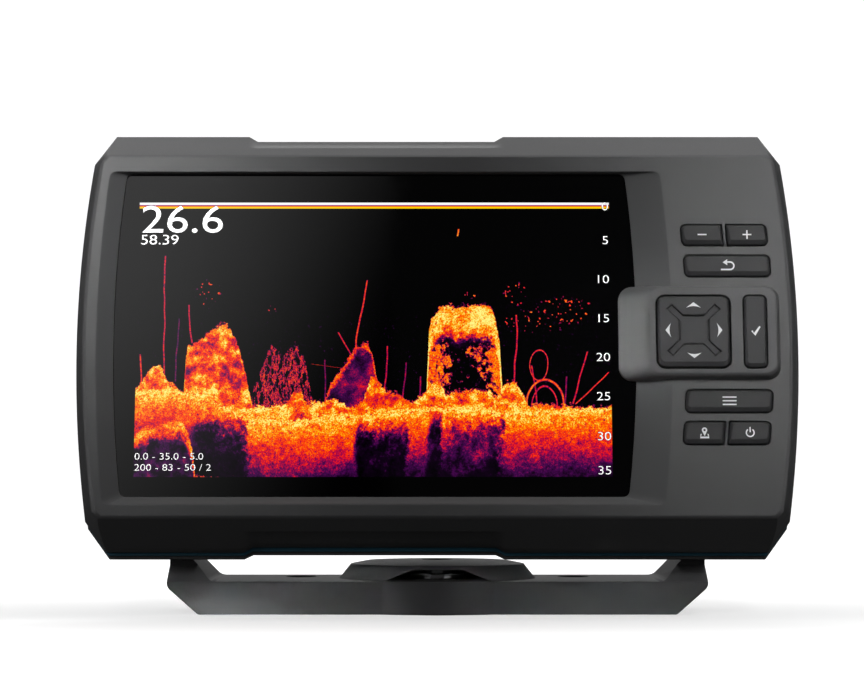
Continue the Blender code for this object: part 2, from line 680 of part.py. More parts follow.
def boards(face):
    half = BOARD_WIDTH / 2
    high = BOARD_HEIGHT / 2
    back = BOARD_Y + BOARD_THICKNESS
    board = plate_mesh("main_board", [oblong(LCD_X - half, LCD_X + half, LCD_Z - high,
                                             LCD_Z + high, BOARD_CORNER)], BOARD_Y, back)
    place("main_board", board, "circuit_board", face)

    def on_board(from_middle, depth):
        return (LCD_X + from_middle[0], back + GAP + depth, LCD_Z + from_middle[1])

    shield_x = -TUB_HALF_WIDTH + TUB_WALL + SHIELD_FROM_WALL + SHIELD_HALF_WIDTH
    shield = place("sonar_shield", box_mesh(
        "sonar_shield", (-SHIELD_HALF_WIDTH, 0, -SHIELD_HALF_HEIGHT),
        (SHIELD_HALF_WIDTH, SHIELD_DEPTH, SHIELD_HALF_HEIGHT)), "panel_steel", face,
        (shield_x, back + GAP, LCD_Z + SHIELD_RISE))
    soften(shield, CAN_EDGE)
    for name, radius, depth, from_middle in (
            ("sonar_transformer", COIL_RADIUS, COIL_DEPTH, COIL_FROM_MIDDLE),
            ("beeper", BEEPER_RADIUS, BEEPER_DEPTH, BEEPER_FROM_MIDDLE)):
        profile = [(0, -depth), (radius, -depth), (radius, -CAN_EDGE), (radius - CAN_EDGE, 0), (0, 0)]
        place(name, turned_mesh(name, profile, 14, "Y"), "black_rubber", face,
              on_board(from_middle, depth))
    pad_x = PAD_LEFT + PAD_SIZE / 2
    pad_z = PAD_TOP - PAD_SIZE / 2
    sheet = oblong(KEYPAD_LEFT, KEYPAD_RIGHT, -KEYPAD_HALF_HEIGHT, KEYPAD_HALF_HEIGHT, KEY_CORNER)
    hole = circle(pad_x, pad_z, PAD_BOSS_RADIUS + PAD_CLEARANCE, 12)
    place("keypad_membrane", plate_mesh("keypad_membrane", [sheet, hole], MEMBRANE_Y,
                                        MEMBRANE_Y + MEMBRANE_THICKNESS), "key_rubber", face)
    place("keypad_board", plate_mesh("keypad_board", [sheet], KEYPAD_BOARD_Y,
                                     KEYPAD_BOARD_Y + KEYPAD_BOARD_THICKNESS),
          "circuit_board", face)


def keys(face):
    for name, left, right, top, low, corners, depth, clearance, lean in key_sites():
        middle_x = (left + right) / 2
        middle_z = (top + low) / 2

        def ring(y, inset):
            outline = key_outline(left, right, top, low, corners, clearance + inset, lean)
            return (y - depth, [(x - middle_x, z - middle_z) for x, z in outline])

        front = depth - KEY_PROUD
        flange = BEZEL_WALL + (PAD_FLOAT if name == "direction_pad" else GAP)
        rim = -clearance - KEY_FLANGE
        rings = [ring(front, KEY_BEVEL), ring(front + KEY_BEVEL * 0.7, 0.0), ring(flange, 0.0),
                 ring(flange, rim), ring(flange + KEY_FLANGE_THICKNESS, rim)]
        cap = loft_mesh(name, rings)
        if name == "direction_pad":
            rocker = empty("pad_pivot", (middle_x, MEMBRANE_Y, middle_z), face)
            place(name, cap, "key_rubber", rocker, (0, depth - MEMBRANE_Y, 0))
            boss_front = flange + KEY_FLANGE_THICKNESS + GAP - MEMBRANE_Y
            boss_back = KEYPAD_BOARD_Y - GAP - MEMBRANE_Y
            place("direction_pad_boss", rod_mesh("direction_pad_boss", PAD_BOSS_RADIUS,
                                                 boss_front, boss_back, sides=12),
                  "black_rubber", rocker)
        else:
            place(name, cap, "key_rubber", face, (middle_x, depth, middle_z))


def seam(face):
    trim = plate_mesh("accent_trim", [seam_ring(1), seam_ring(1, TRIM_WIDTH)], TRIM_Y,
                      TRIM_Y + TRIM_THICKNESS)
    place("accent_trim", trim, "accent_teal", face)
    seal_edge = TRIM_WIDTH + GAP
    seal = plate_mesh("housing_seal", [seam_ring(1, seal_edge), seam_ring(1, seal_edge + SEAL_WIDTH)],
                      TRIM_Y, TRIM_Y + TRIM_THICKNESS)
    place("housing_seal", seal, "black_rubber", face)


def screw_sites():
    z = FACE_HALF_HEIGHT + SCREW_OUT
    return [(x, side * z) for x in SCREW_COLUMNS for side in (-1, 1)]


def screw_tip_y():
    return TUB_Y + GAP - SCREW_LENGTH


def tub_ring(depth, inset=0.0):
    if depth <= TUB_SIDE_END:
        width = TUB_HALF_WIDTH
    else:
        share = (depth - TUB_SIDE_END) / (HEAD_DEPTH - TUB_SIDE_END)
        width = TUB_HALF_WIDTH + share * (TUB_BACK_HALF_WIDTH - TUB_HALF_WIDTH)
    share = (depth - LIP_Y) / (HEAD_DEPTH - LIP_Y)
    height = TUB_HALF_HEIGHT + share * (TUB_BACK_HALF_HEIGHT - TUB_HALF_HEIGHT)
    return oblong(-width + inset, width - inset, -height + inset, height - inset,
                  TUB_CORNER - inset, 3)


def rear_housing(face):
    lip = loft_mesh("rear_housing", [(LIP_Y, seam_ring(2)), (TUB_Y, seam_ring(2))])
    housing = place("rear_housing", lip, "head_plastic", face)
    tub = loft_mesh("tub", [(y, tub_ring(y)) for y in (LIP_Y + LIP_THICKNESS / 2, TUB_SIDE_END,
                                                       HEAD_DEPTH)])
    combine(housing, place("tub", tub, None, face), "UNION")
    inner_end = HEAD_DEPTH - TUB_WALL
    hollow = loft_mesh("tub_hollow", [
        (LIP_Y - PAST, tub_ring(LIP_Y, TUB_WALL)), (TUB_SIDE_END - PAST, tub_ring(
            TUB_SIDE_END, TUB_WALL)), (inner_end, tub_ring(inner_end, TUB_WALL))])
    combine(housing, place("tub_hollow", hollow, None, face))
    for side in (-1, 1):
        wall = TUB_HALF_WIDTH - TUB_WALL / 2
        inner = TUB_HALF_WIDTH - GAP - INSERT_LENGTH - TUB_WALL
        boss = rod_mesh("insert_boss", INSERT_BOSS_RADIUS, *sorted((side * inner, side * wall)),
                        "X", 14)
        combine(housing, place("insert_boss", boss, None, face, pivot_in_face()), "UNION")
        floor = TUB_HALF_WIDTH - 2 * GAP - INSERT_LENGTH
        out = TUB_HALF_WIDTH + PAST
        bore = rod_mesh("insert_bore", INSERT_RADIUS + GAP, *sorted((side * floor, side * out)),
                        "X", 14)
        combine(housing, place("insert_bore", bore, None, face, pivot_in_face()))
    for x, z in screw_sites():
        hole = place("screw_hole", rod_mesh("screw_hole", SCREW_RADIUS + GAP, LIP_Y - PAST,
                                            TUB_Y + PAST, sides=12), None, face, (x, 0, z))
        combine(housing, hole)
    socket_hole = rod_mesh("socket_hole", SOCKET_RADIUS + GAP, inner_end - PAST,
                           HEAD_DEPTH + PAST, sides=16)
    combine(housing, place("socket_hole", socket_hole, None, face, (SOCKET_X, 0, SOCKET_Z)))


def pivot_in_face():
    return (0, PIVOT_BEHIND_FACE, -FACE_ABOVE_PIVOT)


def housing_screws(face):
    shank_end = GAP + 0.2 * MM
    profile = [(0, SCREW_HEAD_HEIGHT), (SCREW_HEAD_RADIUS * 0.75, SCREW_HEAD_HEIGHT),
               (SCREW_HEAD_RADIUS, SCREW_HEAD_HEIGHT * 0.5), (SCREW_HEAD_RADIUS, 0),
               (SCREW_RADIUS, 0), (SCREW_RADIUS, -SCREW_LENGTH + shank_end + 0.8 * MM),
               (0, -SCREW_LENGTH + shank_end)]
    mesh = turned_mesh("housing_screw", profile, 12)
    for number, (x, z) in enumerate(screw_sites(), 1):
        place(f"housing_screw_{number}", mesh, "panel_steel", face, (x, TUB_Y + GAP, z),
              (-pi / 2, 0, 0))


def socket(face):
    out = HEAD_DEPTH + SOCKET_STANDS_OUT
    inner = HEAD_DEPTH - TUB_WALL - GAP
    floor = out - SOCKET_DEPTH
    flange = SOCKET_RADIUS + 3 * MM
    thick = 1.6 * MM
    profile = [(0, floor), (SOCKET_BORE, floor), (SOCKET_BORE, out), (SOCKET_RADIUS, out),
               (SOCKET_RADIUS, inner), (flange, inner), (flange, inner - thick),
               (0, inner - thick)]
    place("sonar_socket", turned_mesh("sonar_socket", [(r, h - inner) for r, h in profile], 16),
          "bail_plastic", face, (SOCKET_X, inner, SOCKET_Z), (-pi / 2, 0, 0))
    puck = place("socket_pins", rod_mesh("socket_pins", SOCKET_BORE - GAP, floor + GAP,
                                         floor + GAP + 1.5 * MM, sides=16), "brass", face,
                 (SOCKET_X, 0, SOCKET_Z))
    for i in range(SOCKET_PINS):
        turn = 2 * pi * i / SOCKET_PINS
        pin = rod_mesh("pin", SOCKET_PIN_RADIUS, floor + 1 * MM, floor + SOCKET_PIN_REACH,
                       sides=6)
        combine(puck, place("pin", pin, None, face, (
            SOCKET_X + SOCKET_PIN_CIRCLE * cos(turn), 0,
            SOCKET_Z + SOCKET_PIN_CIRCLE * sin(turn))), "UNION")
    nut_start = HEAD_DEPTH + GAP
    nut = plate_mesh("socket_nut", [circle(0, 0, SOCKET_RADIUS + 3 * MM, 6),
                                    circle(0, 0, SOCKET_RADIUS + GAP, 16)],
                     nut_start, nut_start + 2.5 * MM)
    place("socket_nut", nut, "bail_plastic", face, (SOCKET_X, 0, SOCKET_Z))


# ------------------------------------------------------------------------------------------
# tilt clamp
# ------------------------------------------------------------------------------------------
def clamp(side, name, head):
    """Brass insert, friction disc, knob and stud on one end of the tilt axis."""
    def along(start, end):
        return (start, end) if side > 0 else (-end, -start)

    insert_end = TUB_HALF_WIDTH - GAP
    insert = place(name + "_insert", rod_mesh(
        name + "_insert", INSERT_RADIUS, *along(insert_end - INSERT_LENGTH, insert_end), "X", 14),
        "brass", head)
    bore = rod_mesh(name + "_insert_bore", STUD_RADIUS + GAP,
                    *along(insert_end - INSERT_LENGTH - PAST, insert_end + PAST), "X", 14)
    combine(insert, place(name + "_insert_bore", bore, None, head))
    disc_start = TUB_HALF_WIDTH + GAP
    disc = place(name + "_friction_disc", rod_mesh(
        name + "_friction_disc", FRICTION_DISC_RADIUS,
        *along(disc_start, disc_start + FRICTION_DISC_THICKNESS), "X", 20), "black_rubber", head)
    disc_bore = rod_mesh(name + "_disc_bore", STUD_RADIUS + GAP,
                         *along(disc_start - PAST, ARM_INNER_X), "X", 14)
    combine(disc, place(name + "_disc_bore", disc_bore, None, head))

    knob_axis = empty(name + "_knob_axis", (0, 0, 0), head)
    knob_start = ARM_OUTER_X + GAP
    body_start = knob_start + KNOB_COLLAR_THICKNESS
    knob_end = body_start + KNOB_THICKNESS
    outline = []
    for i in range(KNOB_LOBES * 6):
        turn = 2 * pi * i / (KNOB_LOBES * 6)
        radius = KNOB_RADIUS - KNOB_LOBE_DEPTH * (0.5 - 0.5 * cos(KNOB_LOBES * turn))
        outline.append((radius * cos(turn), radius * sin(turn)))
    knob = place(name + "_clamp_knob", plate_mesh(
        name + "_clamp_knob", [outline], *along(body_start, knob_end), "X"), "bail_plastic",
        knob_axis)
    soften(knob, 1.2 * MM, 60.0)
    collar = rod_mesh(name + "_collar", KNOB_COLLAR_RADIUS,
                      *along(knob_start, body_start + PAST), "X", 20)
    combine(knob, place(name + "_collar", collar, None, knob_axis), "UNION")
    stud_end = knob_end - 4 * MM
    knob_bore = rod_mesh(name + "_knob_bore", STUD_RADIUS + GAP,
                         *along(knob_start - PAST, stud_end + GAP), "X", 14)
    combine(knob, place(name + "_knob_bore", knob_bore, None, knob_axis))
    stud_start = insert_end - INSERT_LENGTH + 0.6 * MM
    place(name + "_knob_stud", rod_mesh(name + "_knob_stud", STUD_RADIUS,
                                        *along(stud_start, stud_end), "X", 14),
          "panel_steel", knob_axis)


# ------------------------------------------------------------------------------------------
# bail bracket and swivel base
# ------------------------------------------------------------------------------------------
def bail_bracket(bail):
    half = BAIL_DEPTH / 2
    top = PIVOT_Z + BAIL_EYE_RADIUS
    low = BAIL_LIFT
    right = [(ARM_OUTER_X - BAIL_CORNER_X, low, 0), (ARM_OUTER_X, low + BAIL_CORNER_Z, 2 * MM),
             (ARM_OUTER_X, top, 0), (ARM_INNER_X, top, 0),
             (ARM_INNER_X, BAIL_HEIGHT + BAIL_GUSSET, 3 * MM),
             (ARM_INNER_X - BAIL_GUSSET, BAIL_HEIGHT, 3 * MM)]
    left = [(-x, z, radius) for x, z, radius in right[::-1]]
    channel = plate_mesh("bail_bracket", [rounded(right + left)], -half, half)
    bracket = place("bail_bracket", channel, "bail_plastic", bail)

    eye = [(PIVOT_Y + BAIL_EYE_RADIUS * cos(pi * i / 12), PIVOT_Z + BAIL_EYE_RADIUS * sin(
        pi * i / 12)) for i in range(13)]
    side_view = [(-half, low - PAST), (half, low - PAST), (half, BAIL_HEIGHT)] + eye + [
        (BAIL_SHOULDER_Y, BAIL_SHOULDER_Z), (-half, BAIL_HEIGHT)]
    reach = ARM_OUTER_X + 2 * MM
    combine(bracket, place("arm_shape", plate_mesh("arm_shape", [side_view], -reach, reach, "X"),
                           None, bail), "INTERSECT")

    flare = BAIL_BULGE_HALF_WIDTH
    bulge_radius = (flare ** 2 + BAIL_BULGE ** 2) / (2 * BAIL_BULGE)
    centre_y = -half - BAIL_BULGE + bulge_radius
    arc = []
    for i in range(9):
        x = -flare + flare * i / 4
        arc.append((x, centre_y - sqrt(bulge_radius ** 2 - x ** 2)))
    arc += [(flare, -half + BAIL_WALL / 2), (-flare, -half + BAIL_WALL / 2)]
    combine(bracket, place("bulge", plate_mesh("bulge", [arc], low, BAIL_HEIGHT, "Z"), None, bail),
            "UNION")

    inner_x = ARM_OUTER_X - BAIL_CORNER_X - BAIL_WALL
    channel_floor = BAIL_HEIGHT - BAIL_WALL
    combine(bracket, place("channel_hollow", box_mesh(
        "channel_hollow", (-inner_x, -half + BAIL_WALL, -PAST),
        (inner_x, half - BAIL_WALL, channel_floor)), None, bail))

    def dome(name, inset, start):
        rise = [(0, DOME_TOP_RISE + DOME_CROWN), (DOME_TOP, DOME_TOP_RISE),
                (DOME_SHOULDER, DOME_SHOULDER_RISE), (DOME_FOOT, start), (0, start)]
        profile = [(max(r - inset, 0.0), h if i > 2 else h - inset)
                   for i, (r, h) in enumerate(rise)]
        profile[3] = (DOME_FOOT - inset, start)
        mesh = turned_mesh(name, profile, 36)
        for vertex in mesh.vertices:
            vertex.co.y *= DOME_SQUEEZE
        return mesh

    combine(bracket, place("dome", dome("dome", 0.0, -BAIL_WALL / 2), None, bail,
                           (0, 0, BAIL_HEIGHT)), "UNION")
    combine(bracket, place("dome_hollow", dome("dome_hollow", DOME_WALL, 0.0), None, bail,
                           (0, 0, BAIL_HEIGHT)))
    arch = rounded([(-ARCH_HALF_WIDTH, BAIL_HEIGHT, 0), (ARCH_HALF_WIDTH, BAIL_HEIGHT, 0),
                    (ARCH_TOP_HALF_WIDTH, BAIL_HEIGHT + ARCH_RISE, 2 * MM),
                    (-ARCH_TOP_HALF_WIDTH, BAIL_HEIGHT + ARCH_RISE, 2 * MM)])
    combine(bracket, place("arch", plate_mesh("arch", [arch], -half - PAST, -half / 3), None,
                           bail))
    combine(bracket, place("driver_hole", rod_mesh(
        "driver_hole", SWIVEL_HEAD_RADIUS + 2 * GAP, BAIL_HEIGHT + DOME_TOP_RISE / 2,
        BAIL_HEIGHT + DOME_TOP_RISE * 2, "Z", 18), None, bail))
    combine(bracket, place("hub_hole", rod_mesh(
        "hub_hole", HUB_RADIUS + GAP, 0, BAIL_HEIGHT + DOME_WALL / 2, "Z", 24), None, bail))
    for side in (-1, 1):
        spot = (side * BAIL_HOLE_X, BAIL_HOLE_Y, 0)
        combine(bracket, place("web_hole", rod_mesh(
            "web_hole", BAIL_HOLE_RADIUS, 0, BAIL_HEIGHT + PAST, "Z", 14), None, bail, spot))
        combine(bracket, place("web_sink", rod_mesh(
            "web_sink", BAIL_SINK_RADIUS, BAIL_HEIGHT - BAIL_SINK_DEPTH, BAIL_HEIGHT + PAST,
            "Z", 18), None, bail, spot))
        ends = sorted((side * (ARM_INNER_X - PAST), side * (ARM_OUTER_X + PAST)))
        stud_hole = rod_mesh("stud_hole", STUD_RADIUS + GAP, *ends, "X", 14)
        combine(bracket, place("stud_hole", stud_hole, None, bail, (0, PIVOT_Y, PIVOT_Z)))


def swivel_base():
    seat = BAIL_HEIGHT - BAIL_WALL - GAP
    profile = [(0, BAIL_HEIGHT), (HUB_RADIUS, BAIL_HEIGHT), (HUB_RADIUS, seat),
               (BASE_RADIUS - 1 * MM, seat), (BASE_RADIUS, seat - 1 * MM), (BASE_RADIUS, 0),
               (0, 0)]
    base = place("swivel_base", turned_mesh("swivel_base", profile, 32), "bail_plastic")
    bore = rod_mesh("screw_bore", SWIVEL_SCREW_RADIUS + GAP, SWIVEL_SCREW_FLOOR,
                    BAIL_HEIGHT + PAST, "Z", 14)
    combine(base, place("screw_bore", bore, None))
    for i in range(BASE_HOLES):
        turn = 2 * pi * i / BASE_HOLES + pi / 2
        hole = rod_mesh("fixing_hole", BASE_HOLE_RADIUS, -PAST, seat + PAST, "Z", 14)
        combine(base, place("fixing_hole", hole, None, None, (
            BASE_HOLE_CIRCLE * cos(turn), BASE_HOLE_CIRCLE * sin(turn), 0)))
    washer_z = BAIL_HEIGHT + GAP
    washer = plate_mesh("swivel_washer", [circle(0, 0, WASHER_RADIUS, 24),
                                          circle(0, 0, SWIVEL_SCREW_RADIUS + GAP, 14)],
                        washer_z, washer_z + WASHER_THICKNESS, "Z")
    place("swivel_washer", washer, "panel_steel")
    head_z = washer_z + WASHER_THICKNESS + GAP
    screw = [(0, SWIVEL_HEAD_HEIGHT), (SWIVEL_HEAD_RADIUS - 0.6 * MM, SWIVEL_HEAD_HEIGHT),
             (SWIVEL_HEAD_RADIUS, SWIVEL_HEAD_HEIGHT - 0.6 * MM), (SWIVEL_HEAD_RADIUS, 0),
             (SWIVEL_SCREW_RADIUS, 0), (SWIVEL_SCREW_RADIUS, SWIVEL_SCREW_FLOOR + GAP - head_z),
             (0, SWIVEL_SCREW_FLOOR + GAP - head_z)]
    place("swivel_screw", turned_mesh("swivel_screw", screw, 16), "panel_steel", None,
          (0, 0, head_z))


clear_scene()
PARTS = new_collection("fish_finder")
CUTTERS = new_collection("cutters")

swivel_axis = empty("swivel_axis", (0, 0, 0))
head_axis = empty("head_axis", (0, PIVOT_Y, PIVOT_Z), swivel_axis, (-HEAD_LEAN, 0, 0))
face_frame = empty("face_frame", (0, -PIVOT_BEHIND_FACE, FACE_ABOVE_PIVOT), head_axis)

swivel_base()
bail_bracket(swivel_axis)
front_bezel(face_frame)
display_stack(face_frame)
boards(face_frame)
keys(face_frame)
seam(face_frame)
rear_housing(face_frame)
housing_screws(face_frame)
socket(face_frame)
clamp(-1, "left", head_axis)
clamp(1, "right", head_axis)
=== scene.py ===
import json
import bpy
import bmesh
from math import cos, pi, radians, sin, sqrt, tan
from mathutils import Matrix, Vector


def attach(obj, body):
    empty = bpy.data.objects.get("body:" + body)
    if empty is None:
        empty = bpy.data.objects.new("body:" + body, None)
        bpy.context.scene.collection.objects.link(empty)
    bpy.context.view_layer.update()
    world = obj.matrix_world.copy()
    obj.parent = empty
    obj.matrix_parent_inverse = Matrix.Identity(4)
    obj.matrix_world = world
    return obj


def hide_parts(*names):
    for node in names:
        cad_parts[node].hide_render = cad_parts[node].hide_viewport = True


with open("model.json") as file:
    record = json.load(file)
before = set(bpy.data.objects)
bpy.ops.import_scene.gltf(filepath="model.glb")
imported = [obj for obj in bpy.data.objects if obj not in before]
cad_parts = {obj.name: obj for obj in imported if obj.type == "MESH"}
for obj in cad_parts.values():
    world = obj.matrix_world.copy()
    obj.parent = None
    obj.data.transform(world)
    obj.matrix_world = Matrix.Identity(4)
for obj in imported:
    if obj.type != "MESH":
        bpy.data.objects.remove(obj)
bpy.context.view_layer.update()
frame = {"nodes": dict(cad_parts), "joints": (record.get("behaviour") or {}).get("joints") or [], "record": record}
scene = bpy.context.scene

# All lengths below are millimetres in the face frame (x right, y back from the face plane, z up
# the face) for the head, and in the standing frame for the bracket and base.
MM = 0.001
GAP = 0.3
RIM_EASE = 0.2  # easing of the rims of thin sheets
CREASE = 32.0  # degrees; sharper turns stay sharp in the shading
PAST = 1.0  # how far a cutter runs past what it cuts

# --- head
PIVOT_BEHIND_FACE = 38.0
FACE_ABOVE_PIVOT = 2.1
FACE_HALF_WIDTH = 114.4
FACE_HALF_HEIGHT = 59.7
FACE_CORNER = 1.9
FACE_EDGE = 0.55  # rounding where the face turns into the chamfers
SIDE_BOW = 4.4
SIDE_FLARE = 4.6
SIDE_POINTS = 24
TOP_RISE = 10.6
BOTTOM_DROP = 9.6
CORNER_CUT_X = 7.2
CORNER_CUT_Z = 9.8
CHAMFER_DEPTH = 14.5
BEZEL_DEPTH = 17.0
BEZEL_WALL = 2.4
NOTCH_X = -20.5
NOTCH_HALF_WIDTH = 39.6
NOTCH_FLARE = 2.9
NOTCH_START = 6.0
NOTCH_DEPTH = 1.7
NOTCH_STEP = 0.45  # height of the step where the notch starts
TRIM_THICKNESS = 1.2
TRIM_STEP = 0.9
TRIM_WIDTH = 2.6
LIP_THICKNESS = 2.2
SEAM_JOG = 1.4
SEAM_SETBACK = 0.4
GLASS_LEFT = -105.3
GLASS_RIGHT = 64.7
GLASS_TOP = 54.0
GLASS_BOTTOM = -53.0
GLASS_BOW = 3.2
GLASS_CORNER = 2.2
GLASS_THICKNESS = 1.5
GLASS_HOLD = 2.6
POCKET_DEPTH = 2.0
POCKET_ROLL = 0.3  # rounding along the upper rim of the pocket
BEVEL_LEFT = 5.3
BEVEL_RIGHT = 11.4
BEVEL_BOTTOM = 2.7
BEVEL_TOP = 0.2

# --- keypad
KEY_LEFT = 80.7
KEY_RIGHT = 109.1
KEY_BOW_RADIUS = 350.0
KEY_BOW_Z = 2.5
KEY_SPLIT = 93.4
KEY_RIB = 0.9
KEY_CORNER = 2.0
KEY_RIB_CORNER = 0.5
KEY_RIB_DROP = 0.5  # the rib between paired keys lies below the face
KEY_CLEARANCE = 0.35
KEY_PROUD = 1.0
KEY_FLANGE = 0.3
KEY_SIDE_EDGE = 0.75  # widths of the bevels around a key's face
KEY_TOP_EDGE = 0.6
KEY_LOW_EDGE = 1.5
ENTER_LOW_EDGE = 1.2
KEY_ROLL = 0.18  # rounding where the face turns into the bevels
KEY_FALL = 0.62  # how far the bevels fall
KEY_RIB_SHY = 0.09  # keeps the cut in the rib just inside the wells' edges
WELL_EDGE = 0.1
KEY_FLANGE_THICKNESS = 0.7
KEY_ROWS = (
    ("minus_key", "plus_key", 36.6, 7.5),
    ("back_key", None, 26.4, 7.7),
    ("menu_key", None, -18.2, 8.0),
    ("waypoint_key", "power_key", -28.6, 8.0),
)
POD_LEFT = 68.0
POD_RIGHT = 110.0
POD_TOP = 15.2
POD_BOTTOM = -14.1
POD_CORNER = 4.0
POD_PROUD = 3.1
POD_SKIRT = 1.2
POD_WING = 9.2
POD_EDGE = 0.9
PAD_LEFT = 70.5
PAD_TOP = 12.3
PAD_SIZE = 24.4
PAD_CORNER = 3.0
PAD_CLEARANCE = 0.55
PAD_FLOAT = 1.15
ENTER_LEFT = 98.7
ENTER_WIDTH = 7.9
MARK_THICKNESS = 0.06
PIN_EYE_RADIUS = 0.36
PIN_EYE_RISE = 0.85
MARK_SINK = 0.02  # how far a mark reaches into its key
CROSS_WAIST = 3.4  # half length of the sides of the pad's recessed octagon
CROSS_HALF = 4.85
CROSS_REACH = 8.6
CROSS_NARROW = 6.9
CROSS_DEPTH = 0.42
CROSS_RAISE = 0.3

# --- rear housing, socket and clamp
TUB_HALF_WIDTH = 81.5
TUB_HALF_HEIGHT = 56.0
TUB_BACK_HALF_WIDTH = 68.0
TUB_BACK_HALF_HEIGHT = 44.0
TUB_CORNER = 8.0
TUB_SIDE_END = 50.0
TUB_WALL = 2.5
TUB_EDGE = 1.2  # rounding around the back
RIB_COUNT = 8
RIB_START = -58.0
RIB_PITCH = 9.0
RIB_GROOVE = 1.1  # depth of the grooves between the cooling ribs
RIB_HALF_GAP = 2.2
LABEL_DEPTH = 0.4
CLAMP_BOSS_RADIUS = 8.0
CLAMP_PAD_RADIUS = 11.0
CLAMP_PAD_RISE = 0.15
HEAD_DEPTH = 56.0
SCREW_COLUMNS = (-98.0, NOTCH_X, 72.0)
SCREW_Z = 60.0
SCREW_RADIUS = 1.25
SCREW_HEAD_RADIUS = 2.8
SCREW_HEAD_HEIGHT = 1.8
SCREW_LENGTH = 12.0
SCREW_POST_RADIUS = 3.0
SCREW_CORE = 0.8  # radius between the threads, as a share of the shank
THREADS = 7
THREAD_PITCH = 1.2
SOCKET_X = 30.0
SOCKET_Z = -8.0
SOCKET_RADIUS = 9.5
SOCKET_BORE = 7.0
SOCKET_DEPTH = 9.0
SOCKET_STANDS_OUT = 6.5
SOCKET_FLANGE = 3.0
SOCKET_THREAD = 0.5
SOCKET_PITCH = 0.9
NUT_THICKNESS = 2.5
PIN_COUNT = 8
PIN_CIRCLE_RADIUS = 4.4
STUD_RADIUS = 2.5
INSERT_RADIUS = 4.6
INSERT_LENGTH = 9.0
FRICTION_DISC_THICKNESS = 1.1
KNOB_RADIUS = 15.0
KNOB_LOBES = 7
KNOB_LOBE_DEPTH = 1.6
KNOB_THICKNESS = 12.0
KNOB_EDGE = 1.6
KNOB_FACE_WALL = 4.0
KNOB_COLLAR_RADIUS = 9.0
KNOB_COLLAR_THICKNESS = 3.0

# --- bail bracket and base, in the standing frame
BAIL_ARM_THICKNESS = 5.0
BAIL_DEPTH = 44.0
BAIL_HEIGHT = 11.2
BAIL_LIFT = 0.5
BAIL_WALL = 2.5
BAIL_CORNER_X = 10.2
BAIL_CORNER_Z = 8.9
BAIL_GUSSET = 9.3
BAIL_EYE_RADIUS = 13.0
BAIL_SHOULDER_Y = -12.0
BAIL_SHOULDER_Z = 16.2
BAIL_BULGE_HALF_WIDTH = 18.7
BAIL_BULGE = 3.0
BAIL_HOLE_X = 46.0
BAIL_HOLE_Y = 10.0
BAIL_HOLE_RADIUS = 2.75
BAIL_SINK_RADIUS = 5.3
BAIL_SINK_DEPTH = 1.2
DOME_FOOT = 33.8
DOME_SHOULDER = 28.9
DOME_TOP = 23.4
DOME_SQUEEZE = 0.62
DOME_SHOULDER_RISE = 4.9
DOME_TOP_RISE = 6.0
DOME_CROWN = 0.4
DOME_WALL = 2.0
ARCH_HALF_WIDTH = 17.4
ARCH_TOP_HALF_WIDTH = 8.3
ARCH_RISE = 3.6
HUB_RADIUS = 6.0
SWIVEL_HEAD_RADIUS = 4.8

TRIM_Y = BEZEL_DEPTH + GAP
LIP_Y = TRIM_Y + TRIM_THICKNESS + GAP
TUB_Y = LIP_Y + LIP_THICKNESS
GLASS_Y = BEZEL_WALL + GAP
ARM_INNER_X = TUB_HALF_WIDTH + FRICTION_DISC_THICKNESS + 2 * GAP
ARM_OUTER_X = ARM_INNER_X + BAIL_ARM_THICKNESS

# --- picture on the screen
PICTURE_LEFT = -97.8
PICTURE_RIGHT = 56.3
PICTURE_BOTTOM = -46.4
PICTURE_TOP = 44.9


# --- frames
def joint(name):
    return next(found for found in frame["joints"] if found["name"] == name)


def face_frame():
    """The face frame, from the tilt axis and the direction in which a key travels."""
    back = Vector(joint("menu_press")["axis"]).normalized()
    across = Vector((1, 0, 0))
    up = across.cross(back)
    pivot = Vector(joint("tilt")["pos_m"])
    centre = pivot - back * PIVOT_BEHIND_FACE * MM + up * FACE_ABOVE_PIVOT * MM
    return Matrix.Translation(centre) @ Matrix((across, back, up)).transposed().to_4x4()


FACE = face_frame()
STANDING = Matrix.Identity(4)
PIVOT = Vector(joint("tilt")["pos_m"]) / MM
PIVOT_IN_FACE = (0, PIVOT_BEHIND_FACE, -FACE_ABOVE_PIVOT)


# --- finishes
class Wire:
    """A value, vector or colour inside a finish. Arithmetic on it adds Math nodes."""

    def __init__(self, finish, socket):
        self.finish = finish
        self.socket = socket

    def math(self, operation, *values, clamp=False):
        settings = {"operation": operation, "use_clamp": clamp}
        return self.finish.node("ShaderNodeMath", settings, dict(enumerate(values)))

    def __add__(self, other):
        return self.math("ADD", self, other)

    def __sub__(self, other):
        return self.math("SUBTRACT", self, other)

    def __rsub__(self, other):
        return self.math("SUBTRACT", other, self)

    def __mul__(self, other):
        return self.math("MULTIPLY", self, other)

    def __truediv__(self, other):
        return self.math("DIVIDE", self, other)

    def __pow__(self, other):
        return self.math("POWER", self, other)

    def __abs__(self):
        return self.math("ABSOLUTE", self)

    __radd__ = __add__
    __rmul__ = __mul__

    def most(self, other):
        return self.math("MAXIMUM", self, other)

    def held(self):
        """Held between 0 and 1."""
        return self.math("ADD", self, 0.0, clamp=True)

    def rise(self, start, end):
        """A soft step from 0 at start to 1 at end."""
        return self.finish.node("ShaderNodeMapRange", {"interpolation_type": "SMOOTHSTEP"},
                                {"Value": self, "From Min": start, "From Max": end})

    def within(self, low, high, soft):
        return self.rise(low - soft, low + soft) * (1 - self.rise(high - soft, high + soft))


